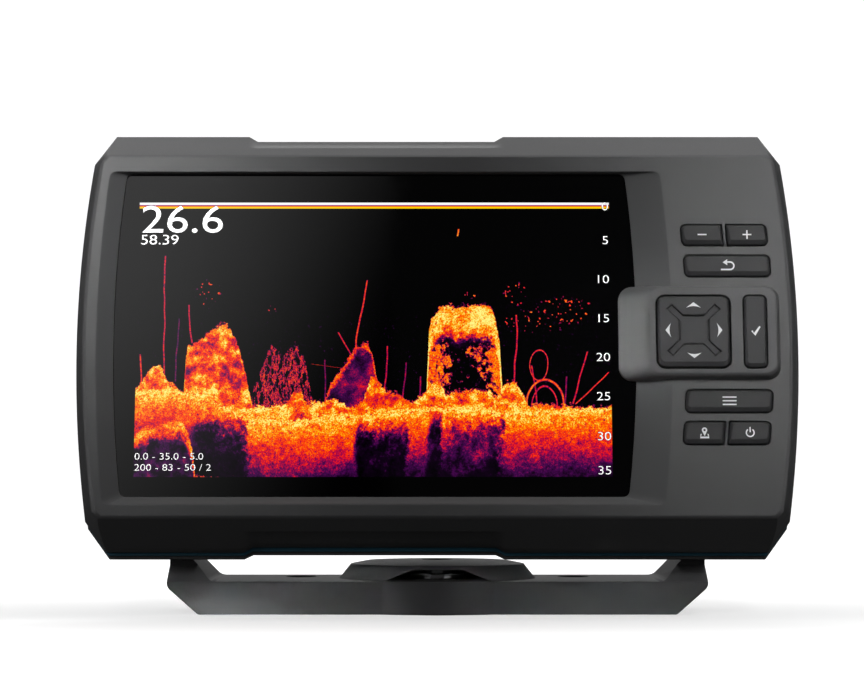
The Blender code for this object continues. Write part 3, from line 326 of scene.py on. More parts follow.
class Finish:
    """A material of this object, built from one kind of call for each node."""

    def __init__(self, name, **fixed):
        self.material = bpy.data.materials.new(name)
        self.material.use_nodes = True
        self.tree = self.material.node_tree
        self.shader = self.tree.nodes["Principled BSDF"]
        self.set(**fixed)
        self.place = self.node("ShaderNodeTexCoord", out="Object")

    def set(self, **sockets):
        for name, value in sockets.items():
            self.feed(self.shader.inputs[name.replace("_", " ")], value)

    def feed(self, socket, value):
        if isinstance(value, Wire):
            self.tree.links.new(value.socket, socket)
        else:
            socket.default_value = value

    def node(self, kind, settings=None, sockets=None, out=0):
        made = self.tree.nodes.new(kind)
        for name, value in (settings or {}).items():
            if name == "stops":
                ramp = made.color_ramp.elements
                for _ in value[2:]:
                    ramp.new(0.5)
                for stop, (position, colour) in zip(ramp, value):
                    stop.position = position
                    stop.color = (*colour, 1)
            elif name == "points":
                curve = made.mapping.curves[0]
                for position, height in value[1:-1]:
                    curve.points.new(position, height)
                for point, spot in zip(curve.points, value):
                    point.location = spot
                    point.handle_type = "VECTOR"
                made.mapping.update()
            else:
                setattr(made, name, value)
        for name, value in (sockets or {}).items():
            self.feed(made.inputs[name], value)
        return Wire(self, made.outputs[out])

    def noise(self, scale, detail=2.0, roughness=0.5, vector=None):
        return self.node("ShaderNodeTexNoise", None, {
            "Vector": vector or self.place, "Scale": scale, "Detail": detail,
            "Roughness": roughness})

    def mix(self, share, one, other):
        one, other = [value if isinstance(value, Wire) else (*value, 1) for value in (one, other)]
        return self.node("ShaderNodeMix", {"data_type": "RGBA"}, {0: share, 6: one, 7: other}, 2)

    def scaled(self, factors):
        return self.node("ShaderNodeVectorMath", {"operation": "MULTIPLY"},
                         {0: self.place, 1: factors})

    def across_and_up(self):
        """Places along x and z, in millimetres."""
        apart = self.node("ShaderNodeSeparateXYZ", None, {0: self.place}).socket.node
        return [Wire(self, apart.outputs[i]) / MM for i in (0, 2)]

    def edges(self, radius, gain):
        """Soft normals near sharp edges, and a mask that is 1 on the edges themselves."""
        soft = self.node("ShaderNodeBevel", {"samples": 4}, {"Radius": radius * MM})
        plain = self.node("ShaderNodeNewGeometry", out="Normal")
        facing = self.node("ShaderNodeVectorMath", {"operation": "DOT_PRODUCT"},
                           {0: soft, 1: plain}, "Value")
        return soft, ((1 - facing) * gain).held()

    def bump(self, height, distance, normal=None):
        sockets = {"Height": height, "Distance": distance * MM, "Strength": 1.0}
        if normal:
            sockets["Normal"] = normal
        self.set(Normal=self.node("ShaderNodeBump", None, sockets))


def moulded(name, dark, light, roughness, grain=0.012, grain_scale=2300.0):
    """Moulded plastic with a fine eroded grain, faint flow clouds, slightly polished edges and a painted highlight
    along the edges.
    """
    finish = Finish(name, Specular_IOR_Level=0.5)
    soft, highlit_edges = finish.edges(0.35, 3.0)
    specks = finish.noise(grain_scale, 3.0, 0.6)
    clouds = finish.noise(38.0, 3.0)
    scuffs = finish.noise(190.0, 5.0, 0.7).rise(0.62, 0.8)
    tone = finish.mix((clouds * 0.6 + specks * 0.5).held(), dark, light)
    # painted highlight: the colour is lightened along the edges; the lower roughness there is polish
    highlight_colour = tuple(min(1.0, 1.5 * channel + 0.01) for channel in light)
    finish.set(Base_Color=finish.mix(highlit_edges * 0.45, tone, highlight_colour),
               Roughness=(roughness + (specks - 0.5) * 0.22 + (clouds - 0.5) * 0.08
                          - highlit_edges * 0.12 - scuffs * 0.06).held())
    finish.bump(specks, grain, soft)
    return finish


def rubber(name, dark, light, roughness, grain=0.01):
    """Silicone rubber with a dusty, fine-pored surface and a painted highlight along its edges."""
    finish = Finish(name, Specular_IOR_Level=0.42)
    soft, highlit_edges = finish.edges(0.25, 2.5)
    pores = finish.noise(3000.0, 4.0, 0.65)
    dust = finish.noise(260.0, 4.0).rise(0.5, 0.78)
    tone = finish.mix((pores * 0.7 + dust * 0.25).held(), dark, light)
    # painted highlight: the colour is lightened along the edges
    finish.set(Base_Color=finish.mix(highlit_edges * 0.3, tone, light),
               Roughness=(roughness + (pores - 0.5) * 0.2 + dust * 0.06).held())
    finish.bump(pores, grain, soft)
    return finish


def brushed(name, colour, tint, roughness):
    """Turned or drawn metal: fine lines, a little tarnish, and edges painted brighter as a highlight."""
    finish = Finish(name, Metallic=1.0)
    soft, highlit_edges = finish.edges(0.2, 3.0)
    lines = finish.noise(3.0, 4.0, 0.6, finish.scaled((30.0, 30.0, 1200.0)))
    tarnish = finish.noise(300.0, 4.0, 0.6).rise(0.5, 0.75)
    # painted highlight: the edges are kept free of the darker tint
    finish.set(Base_Color=finish.mix((tarnish * 0.6 - highlit_edges * 0.4).held(), colour, tint),
               Roughness=(roughness + (lines - 0.5) * 0.3 + tarnish * 0.15).held())
    finish.bump(lines, 0.004, soft)
    return finish


def board_finish():
    """Green solder mask over copper tracks, with a faint glass weave."""
    finish = Finish("circuit_board", Specular_IOR_Level=0.5)
    tracks = finish.node("ShaderNodeTexBrick", {"offset": 0.35, "squash": 1.4}, {
        "Vector": finish.place, "Scale": 420.0, "Mortar Size": 0.05, "Color1": (0, 0, 0, 1),
        "Color2": (0, 0, 0, 1), "Mortar": (1, 1, 1, 1)})
    weave = finish.noise(2400.0, 2.0)
    lit = finish.noise(60.0, 3.0)
    mask = finish.mix(lit, (0.006, 0.055, 0.022), (0.012, 0.09, 0.035))
    finish.set(Base_Color=finish.mix(tracks, mask, (0.05, 0.2, 0.07)),
               Roughness=(0.32 + weave * 0.14).held())
    finish.bump(weave + tracks, 0.02)
    return finish


def trim_finish():
    """Glossy moulded accent ring with a slight mottle and a painted highlight along its edges."""
    finish = Finish("accent_teal", Coat_Weight=0.2, Coat_Roughness=0.2)
    soft, highlit_edges = finish.edges(0.2, 3.0)
    mottle = finish.noise(420.0, 3.0)
    tone = finish.mix(mottle, (0.016, 0.085, 0.135), (0.03, 0.13, 0.19))
    # painted highlight: the colour is lightened along the edges
    finish.set(Base_Color=finish.mix(highlit_edges * 0.5, tone, (0.08, 0.25, 0.33)),
               Roughness=(0.3 + mottle * 0.12).held())
    finish.bump(finish.noise(2500.0, 2.0), 0.006, soft)
    return finish


def sheet_finish():
    """Dark display film with a fine grid."""
    finish = Finish("lcd_sheet")
    grid = finish.node("ShaderNodeTexBrick", {"offset": 0.0}, {
        "Vector": finish.place, "Scale": 2600.0, "Mortar Size": 0.12,
        "Color1": (0.02, 0.02, 0.026, 1), "Color2": (0.03, 0.03, 0.036, 1),
        "Mortar": (0.006, 0.006, 0.007, 1)})
    finish.set(Base_Color=grid, Roughness=(0.25 + finish.noise(90.0, 2.0) * 0.1).held())
    return finish


def print_finish(name, colour, shine):
    """Printed key marking and numerals lit by the display, with a faint screen-print mottle; shine adds a glow,
    which on the key print is painted light.
    """
    finish = Finish(name)
    mottle = finish.noise(1900.0, 3.0)
    tone = finish.mix(mottle, tuple(0.82 * channel for channel in colour), colour)
    finish.set(Base_Color=tone, Roughness=(0.45 + mottle * 0.2).held())
    if shine:
        finish.set(Emission_Color=tone, Emission_Strength=shine)
    return finish


# Shares of the echo picture's width and height. First the crest of the sea bed and the mounds
# on it: (across, height).
CREST = (
    (0.0, 0.314), (0.034, 0.394), (0.054, 0.389), (0.07, 0.337), (0.103, 0.309), (0.142, 0.303),
    (0.175, 0.263), (0.221, 0.252), (0.27, 0.252), (0.319, 0.263), (0.333, 0.305), (0.35, 0.3),
    (0.357, 0.262), (0.417, 0.275), (0.45, 0.252), (0.478, 0.268), (0.495, 0.365), (0.527, 0.314),
    (0.553, 0.297), (0.577, 0.263), (0.603, 0.292), (0.636, 0.354), (0.652, 0.298), (0.717, 0.309),
    (0.744, 0.309), (0.757, 0.274), (0.777, 0.337), (0.799, 0.343), (0.816, 0.286), (0.829, 0.257),
    (1.0, 0.249))
MOUND = (
    (0.0, 0.0), (0.1, 0.25), (0.106, 0.465), (0.136, 0.491), (0.155, 0.531), (0.185, 0.556),
    (0.196, 0.54), (0.218, 0.456), (0.234, 0.343), (0.25, 0.23), (1.0, 0.0))
THICKET = (
    (0.0, 0.0), (0.235, 0.2), (0.25, 0.33), (0.285, 0.47), (0.31, 0.44), (0.335, 0.48),
    (0.355, 0.42), (0.372, 0.28), (0.385, 0.2), (1.0, 0.0))
ROCK = (
    (0.0, 0.0), (0.385, 0.22), (0.41, 0.33), (0.445, 0.42), (0.462, 0.465), (0.488, 0.482),
    (0.497, 0.44), (0.506, 0.36), (0.52, 0.2), (1.0, 0.0))
STUMP = (
    (0.0, 0.0), (0.61, 0.2), (0.616, 0.525), (0.622, 0.57), (0.64, 0.612), (0.656, 0.628),
    (0.672, 0.606), (0.7, 0.618), (0.738, 0.618), (0.752, 0.6), (0.765, 0.5), (0.775, 0.2),
    (1.0, 0.0))
# Thin stalks: foot across, foot height, tip across, tip height, strength.
STALKS = (
    (0.061, 0.36, 0.057, 0.8, 0.46), (0.117, 0.48, 0.11, 0.62, 0.46),
    (0.085, 0.34, 0.09, 0.57, 0.3), (0.461, 0.44, 0.485, 0.71, 0.56),
    (0.452, 0.44, 0.426, 0.52, 0.5), (0.524, 0.3, 0.53, 0.47, 0.46),
    (0.562, 0.27, 0.571, 0.41, 0.36), (0.795, 0.32, 0.804, 0.58, 0.5),
    (0.905, 0.26, 0.907, 0.36, 0.36), (0.92, 0.26, 0.95, 0.45, 0.5),
    (0.925, 0.26, 0.995, 0.375, 0.56), (0.845, 0.26, 0.833, 0.4, 0.45),
    (0.012, 0.32, 0.006, 0.44, 0.56), (0.236, 0.3, 0.224, 0.42, 0.36),
    (0.4, 0.27, 0.398, 0.42, 0.34), (0.677, 0.872, 0.679, 0.898, 0.7),
    (0.368, 0.405, 0.458, 0.385, 0.52), (0.6, 0.25, 0.602, 0.36, 0.4))
# Rings seen end on: middle across, middle height, half width, half height, strength.
RINGS = (
    (0.862, 0.262, 0.04, 0.086, 0.66), (0.849, 0.4, 0.02, 0.055, 0.56),
    (0.861, 0.25, 0.028, 0.075, 0.5))
# Clouds of drops: middle across, middle height, half width, half height.
SPECK_CLOUDS = (
    (0.29, 0.6, 0.02, 0.03), (0.15, 0.66, 0.03, 0.06), (0.905, 0.6, 0.075, 0.06),
    (0.8, 0.66, 0.03, 0.05), (0.84, 0.56, 0.09, 0.05), (0.7, 0.66, 0.03, 0.02))
# Shadows cast through the bed: left, right, top, darkness.
SHADOWS = (
    (0.124, 0.236, 0.205, 0.6), (0.02, 0.112, 0.125, 0.52), (0.462, 0.57, 0.185, 0.78),
    (0.616, 0.64, 0.225, 0.7), (0.646, 0.768, 0.205, 0.34), (0.742, 0.768, 0.2, 0.4))
# The nearer edge of the bed, and the mound in front of it.
FRONT = (
    (0.0, 0.3), (0.1, 0.3), (0.15, 0.29), (0.187, 0.242), (0.233, 0.204), (0.278, 0.194),
    (0.333, 0.186), (0.381, 0.199), (0.433, 0.212), (0.498, 0.208), (0.56, 0.232), (0.64, 0.236),
    (0.72, 0.24), (0.77, 0.222), (1.0, 0.238))
FOREMOUND = (
    (0.0, 0.146), (0.022, 0.171), (0.06, 0.19), (0.1, 0.198), (0.12, 0.119), (0.129, 0.0),
    (0.14, -0.1), (1.0, -0.1))
# Colour of an echo by its strength.
PALETTE = (
    (0.0, (0.0, 0.0, 0.0)), (0.15, (0.006, 0.0, 0.009)), (0.30, (0.06, 0.002, 0.075)),
    (0.42, (0.36, 0.002, 0.06)), (0.50, (0.80, 0.004, 0.008)), (0.64, (1.0, 0.055, 0.0)),
    (0.78, (1.0, 0.25, 0.0)), (0.90, (1.0, 0.60, 0.004)), (1.0, (1.0, 0.92, 0.24)))


def sonar_picture(finish):
    """Colour of the echo picture, and a mask that is 1 inside it."""
    x, z = finish.across_and_up()
    u = (x - PICTURE_LEFT) / (PICTURE_RIGHT - PICTURE_LEFT)
    v = (z - PICTURE_BOTTOM) / (PICTURE_TOP - PICTURE_BOTTOM)
    speckle = finish.noise(2100.0, 2.0, 0.9)
    ragged = finish.noise(620.0, 4.0, 0.7)
    lumps = finish.noise(150.0, 3.0, 0.6)
    shaken = v + (ragged - 0.5) * 0.075
    sway = (finish.noise(90.0, 1.0) - 0.5) * 0.012

    def below(outline):
        """Depth below an outline, as a share of the picture's height."""
        return finish.node("ShaderNodeFloatCurve", {"points": outline}, {"Value": u}) - shaken

    def inside(depth, soft=0.006):
        return depth.rise(-soft, soft)

    def oval(across, middle_u, middle_v, half_u, half_v):
        return ((across - middle_u) / half_u) ** 2.0 + ((v - middle_v) / half_v) ** 2.0

    bed = below(CREST)
    front = below(FRONT)
    above = 1 - inside(bed - 0.02, 0.012)
    swirls = finish.noise(230.0, 3.0, 0.6) - 0.5
    edge = 1 - abs(front + 0.004).rise(0.004, 0.024)
    slope = 0.70 + swirls * 1.5 + (1 - bed.rise(0.0, 0.03)) * 0.12
    face = 0.82 - front.held() * 2.9 + swirls * 0.4
    light = inside(bed) * (slope + (face - slope) * inside(front, 0.008)).most(edge * 0.88)
    for left, right, top, darkness in SHADOWS:
        patch = (u + sway * 3 + (ragged - 0.5) * 0.03).within(left, right, 0.006)
        patch = patch * (1 - (shaken + sway * 4).rise(top - 0.06, top + 0.03))
        light = light * (1 - patch * (darkness + (0.5 - lumps) * 1.3 + (0.5 - ragged) * 0.9).held())
    small = below(FOREMOUND)
    shell = 0.20 + (1 - small.rise(0.015, 0.07)) * 0.52 + swirls * 0.8
    light = light + (shell - light) * inside(small)
    mound = below(MOUND)
    flank = 0.60 + (1 - mound.rise(0.0, 0.05)) * 0.14 + swirls * 1.5 + (lumps - 0.5) * 0.8
    light = light.most(inside(mound) * above * flank)
    thicket = below(THICKET)
    twigs = abs(finish.noise(420.0, 4.0, 0.8, finish.scaled((1.0, 1.0, 0.4))) - 0.5) * -14.0 + 1.0
    light = light.most(inside(thicket) * above * (twigs.held() * 0.60))
    rock = below(ROCK)
    rim = 1 - (rock / 0.035).held()
    light = light.most(inside(rock) * above * (0.26 + rim * 0.42 + (lumps - 0.45) * 0.9))
    stump = below(STUMP)
    cap = 1 - stump.rise(0.07, 0.16)
    legs = ((lumps - 0.5) * 1.4 + (ragged - 0.5) * 1.6 + abs(u - 0.685) * 6.0).rise(0.16, 0.42) * 0.66
    light = light.most(inside(stump) * above * (cap * (0.86 + (lumps - 0.5) * 0.7)).most(legs))
    for foot_u, foot_v, tip_u, tip_v, strength in STALKS:
        along = (v - foot_v) / (tip_v - foot_v)
        off = abs(u + sway - foot_u - along * (tip_u - foot_u))
        line = (1 - off.rise(0.0008, 0.0024)) * along.within(0.0, 1.0, 0.01)
        light = light.most(line * strength)
    for middle_u, middle_v, half_u, half_v, strength in RINGS:
        ring = oval(u + sway, middle_u, middle_v, half_u, half_v)
        light = light.most((1 - abs(ring - 1.0).rise(0.03, 0.16)) * strength)
    drops = finish.noise(1250.0, 0.0).rise(0.70, 0.78)
    for middle_u, middle_v, half_u, half_v in SPECK_CLOUDS:
        spread = oval(u, middle_u, middle_v, half_u, half_v)
        light = light.most(drops * (1 - spread.rise(0.4, 1.1)) * 0.62)
    haze = finish.noise(800.0, 2.0, 0.8).rise(0.60, 0.78) * v.within(0.25, 0.62, 0.12)
    light = light.most(haze * 0.24)
    gaps = finish.noise(1100.0, 3.0, 0.7).rise(0.32, 0.42) * 0.5 + 0.5
    grainy = light * gaps * (1.04 + (speckle - 0.5) * 1.5 + (ragged - 0.5) * 0.7)
    colour = finish.node("ShaderNodeValToRGB", {"stops": PALETTE}, {"Fac": grainy.held()})
    surface = ((0.996, 0.987, (1.0, 1.0, 1.0)), (0.987, 0.984, (0.22, 0.0, 0.16)),
               (0.984, 0.981, (1.0, 0.03, 0.01)), (0.981, 0.974, (1.0, 0.62, 0.0)))
    for high, low, paint in surface:
        colour = finish.mix(v.within(low, high, 0.0004), colour, paint)
    shown = u.within(0.0, 1.0, 0.0008) * v.within(0.0, 1.0, 0.0012)
    return colour, shown


def glass_finish():
    """Bonded cover glass over a lit echo picture, with faint smears."""
    finish = Finish("screen_glass", Specular_IOR_Level=0.5, Emission_Strength=1.0)
    colour, shown = sonar_picture(finish)
    smears = finish.noise(45.0, 4.0, 0.6).rise(0.45, 0.75)
    dust = finish.noise(2600.0, 1.0).rise(0.80, 0.88)
    finish.set(Base_Color=finish.mix(dust * 0.5, (0.0008, 0.0008, 0.001), (0.012, 0.012, 0.012)),
               Emission_Color=finish.mix(shown, (0, 0, 0), colour),
               Roughness=(0.05 + smears * 0.05 + dust * 0.2).held())
    return finish


FINISHES = {
    "head_plastic": moulded("head_plastic", (0.062, 0.062, 0.064), (0.082, 0.082, 0.084), 0.46),
    "bracket_plastic": moulded("bracket_plastic", (0.034, 0.034, 0.036), (0.05, 0.05, 0.052),
                               0.55, 0.03, 1500.0),
    "moulded_black": moulded("moulded_black", (0.012, 0.012, 0.013), (0.022, 0.022, 0.023), 0.5),
    "key_rubber": rubber("key_rubber", (0.030, 0.030, 0.031), (0.042, 0.042, 0.044), 0.55),
    "black_rubber": rubber("black_rubber", (0.010, 0.010, 0.010), (0.022, 0.022, 0.022), 0.8, 0.02),
    "accent_teal": trim_finish(),
    "screen_glass": glass_finish(),
    "steel": brushed("steel", (0.50, 0.51, 0.53), (0.30, 0.29, 0.28), 0.32),
    "brass": brushed("brass", (0.72, 0.53, 0.22), (0.38, 0.26, 0.10), 0.34),
    "circuit_board": board_finish(),
    "lcd_sheet": sheet_finish(),
}
# the key print is given a slight painted glow that brightens it
KEY_PRINT = print_finish("key_print", (0.78, 0.79, 0.79), 0.3)
SCREEN_WHITE = print_finish("screen_white", (1.0, 1.0, 1.0), 0.95)
SCREEN_EDGE = print_finish("screen_edge", (0.004, 0.004, 0.004), 0.0)


# --- outlines and solids
def rounded(corners, steps=6):
    """Closed outline whose (x, z, radius) corners become arcs of steps + 1 points."""
    outline = []
    count = len(corners)
    for i, (x, z, radius) in enumerate(corners):
        here = Vector((x, z))
        if radius <= 0:
            outline.append((x, z))
            continue
        before = (Vector(corners[i - 1][:2]) - here).normalized()
        after = (Vector(corners[(i + 1) % count][:2]) - here).normalized()
        half = before.angle(after) / 2
        centre = here + (before + after).normalized() * radius / sin(half)
        start = here + before * radius / tan(half) - centre
        end = here + after * radius / tan(half) - centre
        sweep = start.angle_signed(end)
        for k in range(steps + 1):
            spoke = start.copy()
            spoke.rotate(Matrix.Rotation(-sweep * k / steps, 2))
            outline.append(tuple(centre + spoke))
    return outline


def oblong(left, right, bottom, top, corner=0.0, steps=6):
    return rounded([(left, bottom, corner), (right, bottom, corner),
                    (right, top, corner), (left, top, corner)], steps)


def circle(x, z, radius, sides=48):
    turns = [2 * pi * i / sides for i in range(sides)]
    return [(x + radius * cos(turn), z + radius * sin(turn)) for turn in turns]


def placed(name, data):
    made = bpy.data.objects.new(name, data)
    scene.collection.objects.link(made)
    return made


def evaluated(holder):
    """The mesh of an object with its modifiers or its text worked out."""
    bpy.context.view_layer.update()
    return bpy.data.meshes.new_from_object(holder.evaluated_get(
        bpy.context.evaluated_depsgraph_get()))


def mesh_of(bm):
    bmesh.ops.recalc_face_normals(bm, faces=bm.faces)
    if bm.calc_volume(signed=True) < 0:
        bmesh.ops.reverse_faces(bm, faces=bm.faces)
    mesh = bpy.data.meshes.new("shape")
    bm.to_mesh(mesh)
    bm.free()
    return mesh


AXES = {"X": ((0, 0, 1), (1, 0, 0), (0, 1, 0)), "Y": ((1, 0, 0), (0, 0, 1), (0, 1, 0)),
        "Z": ((1, 0, 0), (0, 1, 0), (0, 0, 1))}


def stack(rings, axis="Y"):
    """A closed solid through rings of equal length; each ring is (place along axis, outline)."""
    rows = AXES[axis]
    bm = bmesh.new()
    loops = []
    for along, outline in rings:
        spots = [Vector((across, up, along)) for across, up in outline]
        loops.append([bm.verts.new([sum(row[i] * spot[i] for i in range(3)) for row in rows])
                      for spot in spots])
    for near, far in zip(loops, loops[1:]):
        for i in range(len(near)):
            j = (i + 1) % len(near)
            bm.faces.new((near[i], near[j], far[j], far[i]))
    bm.faces.new(loops[0])
    bm.faces.new(loops[-1])
    return mesh_of(bm)


def eased(ring, front, back, ease, back_ease):
    """A sheet with eased rims, from a function that gives its outline at an inset."""
    return stack([(front, ring(ease)), (front + ease, ring(0.0)),
                  (back - back_ease, ring(0.0)), (back, ring(back_ease))])


def rolled(radius, turns):
    """(sink, inset) along a rounded edge, for turns from the face towards the side."""
    return [(radius * (1 - cos(turn)), radius * (1 - sin(turn))) for turn in turns]


def plate(outline, start, end, axis="Y"):
    return stack([(start, outline), (end, outline)], axis)


def rod(radius, start, end, axis="Y", sides=48, at=(0, 0)):
    return plate(circle(*at, radius, sides), start, end, axis)


def box(low, high):
    return plate(oblong(low[0], high[0], low[2], high[2]), low[1], high[1])


def turned(profile, axis="Z", steps=64, at=(0, 0)):
    """A turned solid: profile points are (radius, place along the axis)."""
    return stack([(along, circle(*at, radius, steps)) for radius, along in profile], axis)


def moved(mesh, shift):
    mesh.transform(Matrix.Translation(shift))
    return mesh


def cut(*tools):
    return [("DIFFERENCE", tool) for tool in tools]


def add(*tools):
    return [("UNION", tool) for tool in tools]


def worked(mesh, steps, edge=0.0, edge_steps=3, angle=30.0):
    """The mesh after each (operation, tool) in turn, with its sharp edges rounded at the end."""
    holder = placed("work", mesh)
    tools = [holder]
    for operation, tool in steps:
        helper = placed("tool", tool)
        step = holder.modifiers.new("step", "BOOLEAN")
        step.operation = operation
        step.object = helper
        tools.append(helper)
    if edge:
        rounding = holder.modifiers.new("edges", "BEVEL")
        rounding.width = edge
        rounding.segments = edge_steps
        rounding.limit_method = "ANGLE"
        rounding.angle_limit = radians(angle)
    made = evaluated(holder)
    for tool in tools:
        bpy.data.objects.remove(tool)
    return made


def joined(*meshes):
    """Several closed solids as one mesh, where they don't touch."""
    bm = bmesh.new()
    for mesh in meshes:
        bm.from_mesh(mesh)
    return mesh_of(bm)


def piece(name, mesh, finish, body, *stands_for, where=FACE):
    """One piece of the object, from a mesh in millimetres in the frame given by where."""
    mesh.name = name
    mesh.transform(Matrix.Scale(MM, 4))
    mesh.materials.clear()
    made = placed(name, mesh)
    if finish in FINISHES:
        mesh.materials.append(FINISHES[finish].material)
    else:
        mesh.materials.append(finish.material)
    mesh.shade_smooth()
    mesh.set_sharp_from_angle(angle=radians(CREASE))
    made.matrix_world = where
    even = made.modifiers.new("even shading", "WEIGHTED_NORMAL")
    even.keep_sharp = True
    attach(made, body)
    if stands_for:
        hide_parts(*stands_for)
    return made


# --- outlines of the head
def head_outline(width, top, bottom, cut_x, cut_z, jog, inset=0.0):
    """The head's outline: bowed sides, cut corners, and a jog in the top and bottom edges."""
    width -= inset
    top -= inset
    bottom -= inset
    end_x = width - SIDE_BOW
    inner = NOTCH_HALF_WIDTH
    outer = inner + NOTCH_FLARE

    def side(direction):
        points = []
        for i in range(SIDE_POINTS + 2):
            share = i / (SIDE_POINTS + 1)
            z = -bottom + cut_z + share * (top + bottom - 2 * cut_z)
            points.append((direction * (end_x + SIDE_BOW * (1 - (2 * share - 1) ** 2)), z))
        return points

    lower = [(-end_x + cut_x, -bottom), (NOTCH_X - outer, -bottom), (NOTCH_X - inner, -bottom + jog),
             (NOTCH_X + inner, -bottom + jog), (NOTCH_X + outer, -bottom), (end_x - cut_x, -bottom)]
    upper = [(end_x - cut_x, top), (NOTCH_X + outer, top), (NOTCH_X + inner, top - jog),
             (NOTCH_X - inner, top - jog), (NOTCH_X - outer, top), (-end_x + cut_x, top)]
    return lower + side(1) + upper + side(-1)[::-1]


def face_ring(inset=0.0):
    return head_outline(FACE_HALF_WIDTH, FACE_HALF_HEIGHT, FACE_HALF_HEIGHT,
                        FACE_CORNER, FACE_CORNER, 0.0, inset)


def chamfer_ring(share, jog, inset=0.0):
    """The outline part of the way down the chamfer, from 0 at the face to 1 at its end."""
    return head_outline(FACE_HALF_WIDTH + SIDE_FLARE * share ** 0.6,
                        FACE_HALF_HEIGHT + TOP_RISE * share,
                        FACE_HALF_HEIGHT + BOTTOM_DROP * share,
                        FACE_CORNER + (CORNER_CUT_X - FACE_CORNER) * share,
                        FACE_CORNER + (CORNER_CUT_Z - FACE_CORNER) * share, jog, inset)


def seam_ring(step, inset=0.0):
    return head_outline(FACE_HALF_WIDTH + SIDE_FLARE - SEAM_SETBACK,
                        FACE_HALF_HEIGHT + TOP_RISE - SEAM_SETBACK,
                        FACE_HALF_HEIGHT + BOTTOM_DROP + TRIM_STEP * step,
                        CORNER_CUT_X, CORNER_CUT_Z, SEAM_JOG, inset)


def glass_outline(grow=0.0, left=0.0, right=0.0, top=0.0, bottom=0.0):
    """The visible glass: bowed at both sides, and bigger by the given margins."""
    low = GLASS_BOTTOM - grow - bottom
    high = GLASS_TOP + grow + top
    spans = 12

    def side(edge, direction):
        points = []
        for i in range(spans + 1):
            share = i / spans
            radius = GLASS_CORNER if i in (0, spans) else 0.0
            points.append((edge - direction * GLASS_BOW * (2 * share - 1) ** 2,
                           low + share * (high - low), radius))
        return points

    return rounded(side(GLASS_RIGHT + grow + right, 1) + side(GLASS_LEFT - grow - left, -1)[::-1])


def key_bow(z):
    return (z - KEY_BOW_Z) ** 2 / (2 * KEY_BOW_RADIUS)


def key_outline(site, side=0.0, low=0.0, high=0.0):
    """A key's outline inset at its sides, bottom and top; its ends lean with the key column."""
    left, right, top, bottom, corners, lean = site
    inset = max(side, 0.0)
    left_corner, right_corner = [max(corner - inset, 0.3) for corner in corners]
    low_shift = lean * key_bow(bottom)
    high_shift = lean * key_bow(top)
    return rounded([(left - low_shift + side, bottom + low, left_corner),
                    (right - low_shift - side, bottom + low, right_corner),
                    (right - high_shift - side, top - high, right_corner),
                    (left - high_shift + side, top - high, left_corner)])


def key_sites():
    """Every key: name, (left, right, top, bottom, corner radii, lean), face depth, clearance."""
    both = (KEY_CORNER, KEY_CORNER)
    sites = []
    for left_key, right_key, top, height in KEY_ROWS:
        ends = [(left_key, KEY_LEFT, KEY_RIGHT, both)]
        if right_key:
            split = KEY_SPLIT + key_bow(top)
            ends = [(left_key, KEY_LEFT, split - KEY_RIB / 2, (KEY_CORNER, KEY_RIB_CORNER)),
                    (right_key, split + KEY_RIB / 2, KEY_RIGHT, (KEY_RIB_CORNER, KEY_CORNER))]
        sites += [(name, (left, right, top, top - height, corners, 1.0), 0.0, KEY_CLEARANCE)
                  for name, left, right, corners in ends]
    low = PAD_TOP - PAD_SIZE
    sites.append(("enter_key", (ENTER_LEFT, ENTER_LEFT + ENTER_WIDTH, PAD_TOP, low, both, 0.0),
                  -POD_PROUD, KEY_CLEARANCE))
    sites.append(("direction_pad", (PAD_LEFT, PAD_LEFT + PAD_SIZE, PAD_TOP, low,
                                    (PAD_CORNER, PAD_CORNER), 0.0), -POD_PROUD, PAD_CLEARANCE))
    return sites


# --- the head
def pod():
    """Raised block for the direction pad, with rolled edges and a wing down over the glass."""
    def ring(grow, wing, inset=0.0):
        left, right = POD_LEFT - wing + inset, POD_RIGHT + grow - inset
        bottom, top = POD_BOTTOM - grow + inset, POD_TOP + grow * 0.4 - inset
        corner = POD_CORNER - inset * 0.5
        wing_corner = corner + 0.05 * wing
        return rounded([(left, bottom, wing_corner), (right, bottom, corner),
                        (right, top, corner), (left, top, wing_corner)], 8)

    foot = POCKET_DEPTH * 0.4
    rings = []
    for sink, inset in rolled(POD_EDGE, [pi / 8 * i for i in range(5)]):
        share = sink / (foot + POD_PROUD)
        rings.append((-POD_PROUD + sink, ring(POD_SKIRT * share, POD_WING * share, inset)))
    return stack(rings + [(depth, ring(POD_SKIRT, POD_WING)) for depth in (foot, BEZEL_WALL)])


def pocket():
    """Space cut in front of the glass: sloping walls and a rolled upper rim."""
    def ring(depth, extra):
        share = 1 - depth / POCKET_DEPTH
        return (depth, glass_outline(0.0, *[bevel * share + extra for bevel in (
            BEVEL_LEFT, BEVEL_RIGHT, BEVEL_TOP, BEVEL_BOTTOM)]))

    rings = [ring(depth, POCKET_ROLL * rolled_back) for depth, rolled_back in (
        (-PAST, 2), (-0.02, 1), (0.05, 0.45), (0.15, 0.1), (0.3, 0), (POCKET_DEPTH, 0))]
    return stack(rings + [(BEZEL_WALL + PAST, glass_outline())])


def well(site, depth):
    """Opening for a key, with its edge just broken at the front."""
    return stack([(place, key_outline(site, grow, grow, grow)) for place, grow in (
        (depth - 2 * PAST, -WELL_EDGE), (depth - 0.02, -WELL_EDGE), (depth + WELL_EDGE, 0.0),
        (BEZEL_WALL + PAST, 0.0))])


def screw_sites():
    return [(x, side * SCREW_Z) for x in SCREW_COLUMNS for side in (-1, 1)]


